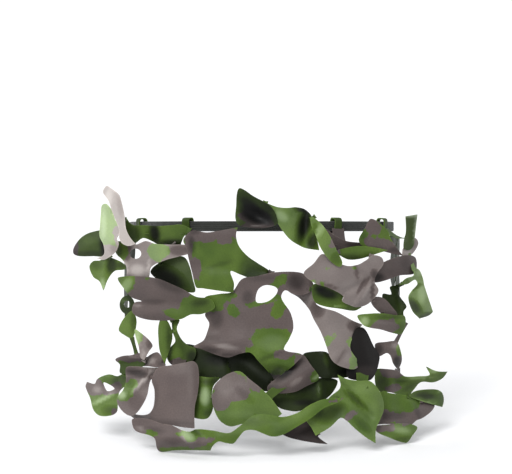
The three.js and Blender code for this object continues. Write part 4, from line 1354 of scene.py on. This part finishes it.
def behind(leaf_name, u, v):
    """A point just behind a leaf, and the direction along its surface."""
    place = BY_NAME[leaf_name]["place"]
    h = height_at(BY_NAME[leaf_name], u, v) - CLOTH - TONGUE_GAP
    side = (place(u + 1, v, h) - place(u - 1, v, h)).normalized()
    return place(u, v, h), side


def at_loop(x):
    """The same for a point on the outside of the band's loop."""
    return band_point(math.asin(x / BAND_HALF_WIDTH), *TONGUE_START), band_way(x)


ON_GREEN, ON_TAUPE = 6, -6
for name, loop_x, body, target, u, v, camo in [
    ("left_ear_tongue", -EAR_LOOP_X, LEFT, "left_cheek_strip", -84, -5, ON_GREEN),
    ("left_cheek_tongue", -CHEEK_LOOP_X, LEFT, "left_cheek_strip", -59, -5, ON_GREEN),
    ("right_cheek_loop_tongue", CHEEK_LOOP_X, VEIL, "right_cheek_patch", 56, -13, ON_TAUPE),
    ("right_ear_tongue", EAR_LOOP_X, RIGHT, "right_ear_leaf", 105, -8, ON_GREEN),
]:
    tongue(name, (HARNESS, body), *at_loop(loop_x), *behind(target, u, v), camo, sag=3)

for name, upper, lower, camo in [
    ("left_hem_tongue", ("left_chin_strip", -58, -94), ("left_hem_panel", -60, -103), ON_TAUPE),
    ("middle_hem_tongue", ("chin_roll", 12, -113), ("centre_hem_round", 0, -122), ON_GREEN),
    ("right_hem_tongue", ("right_chin_under_leaf", 71, -103), ("right_hem_star", 70, -114), ON_GREEN),
]:
    tongue(name, (VEIL, HEM), *behind(*upper), *behind(*lower), camo, sag=0)


# Floor, light and camera

def soft_sun(name, came_from, strength, width_degrees):
    lamp = bpy.data.lights.new(name, "SUN")
    lamp.energy = strength
    lamp.angle = math.radians(width_degrees)
    made = bpy.data.objects.new(name, lamp)
    made.rotation_euler = (-Vector(came_from)).to_track_quat("-Z", "Y").to_euler()
    collection.objects.link(made)


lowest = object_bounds()[0][2]
floor_mesh = bpy.data.meshes.new("studio_floor")
FLOOR_HALF = 9.0
corners = [(x * FLOOR_HALF, y * FLOOR_HALF, lowest) for x, y in ((-1, -1), (1, -1), (1, 1), (-1, 1))]
floor_mesh.from_pydata(corners, [], [(0, 1, 2, 3)])
floor = bpy.data.objects.new("studio_floor", floor_mesh)
collection.objects.link(floor)
floor_material, _ = painted("studio_floor", (0.82, 0.82, 0.83), 0.8, 0.0)
floor_mesh.materials.append(floor_material)

world = bpy.data.worlds.new("studio")
scene.world = world
world.use_nodes = True
background = world.node_tree.nodes["Background"]
background.inputs["Color"].default_value = (0.97, 0.985, 1.0, 1)
background.inputs["Strength"].default_value = 0.62

soft_sun("window_front", (-0.45, -1.0, 0.95), 2.7, 30)
soft_sun("window_left", (-1.0, 0.35, 0.55), 0.9, 50)
soft_sun("window_right", (1.0, 0.3, 0.6), 0.5, 50)

CAMERA_DISTANCE = 2200.0
FRAME_WIDTH = 358.4  # what the frame's long side takes in at that distance, in mm
FRAME_CENTRE = (-4.2, -7.7)
SENSOR = 36.0
lens_object = bpy.data.cameras.new("camera")
lens_object.sensor_width = SENSOR
lens_object.lens = SENSOR * CAMERA_DISTANCE / FRAME_WIDTH
lens_object.clip_start = 0.05
lens_object.clip_end = 100
camera = bpy.data.objects.new("camera", lens_object)
middle = ORIGIN + ACROSS * FRAME_CENTRE[0] + UP * FRAME_CENTRE[1]
basis = Matrix((ACROSS, UP, OUT)).transposed().to_4x4()
camera.matrix_world = Matrix.Translation((middle + OUT * CAMERA_DISTANCE) * MM) @ basis
collection.objects.link(camera)
scene.camera = camera
scene.view_settings.view_transform = "Standard"
scene.view_settings.look = "None"
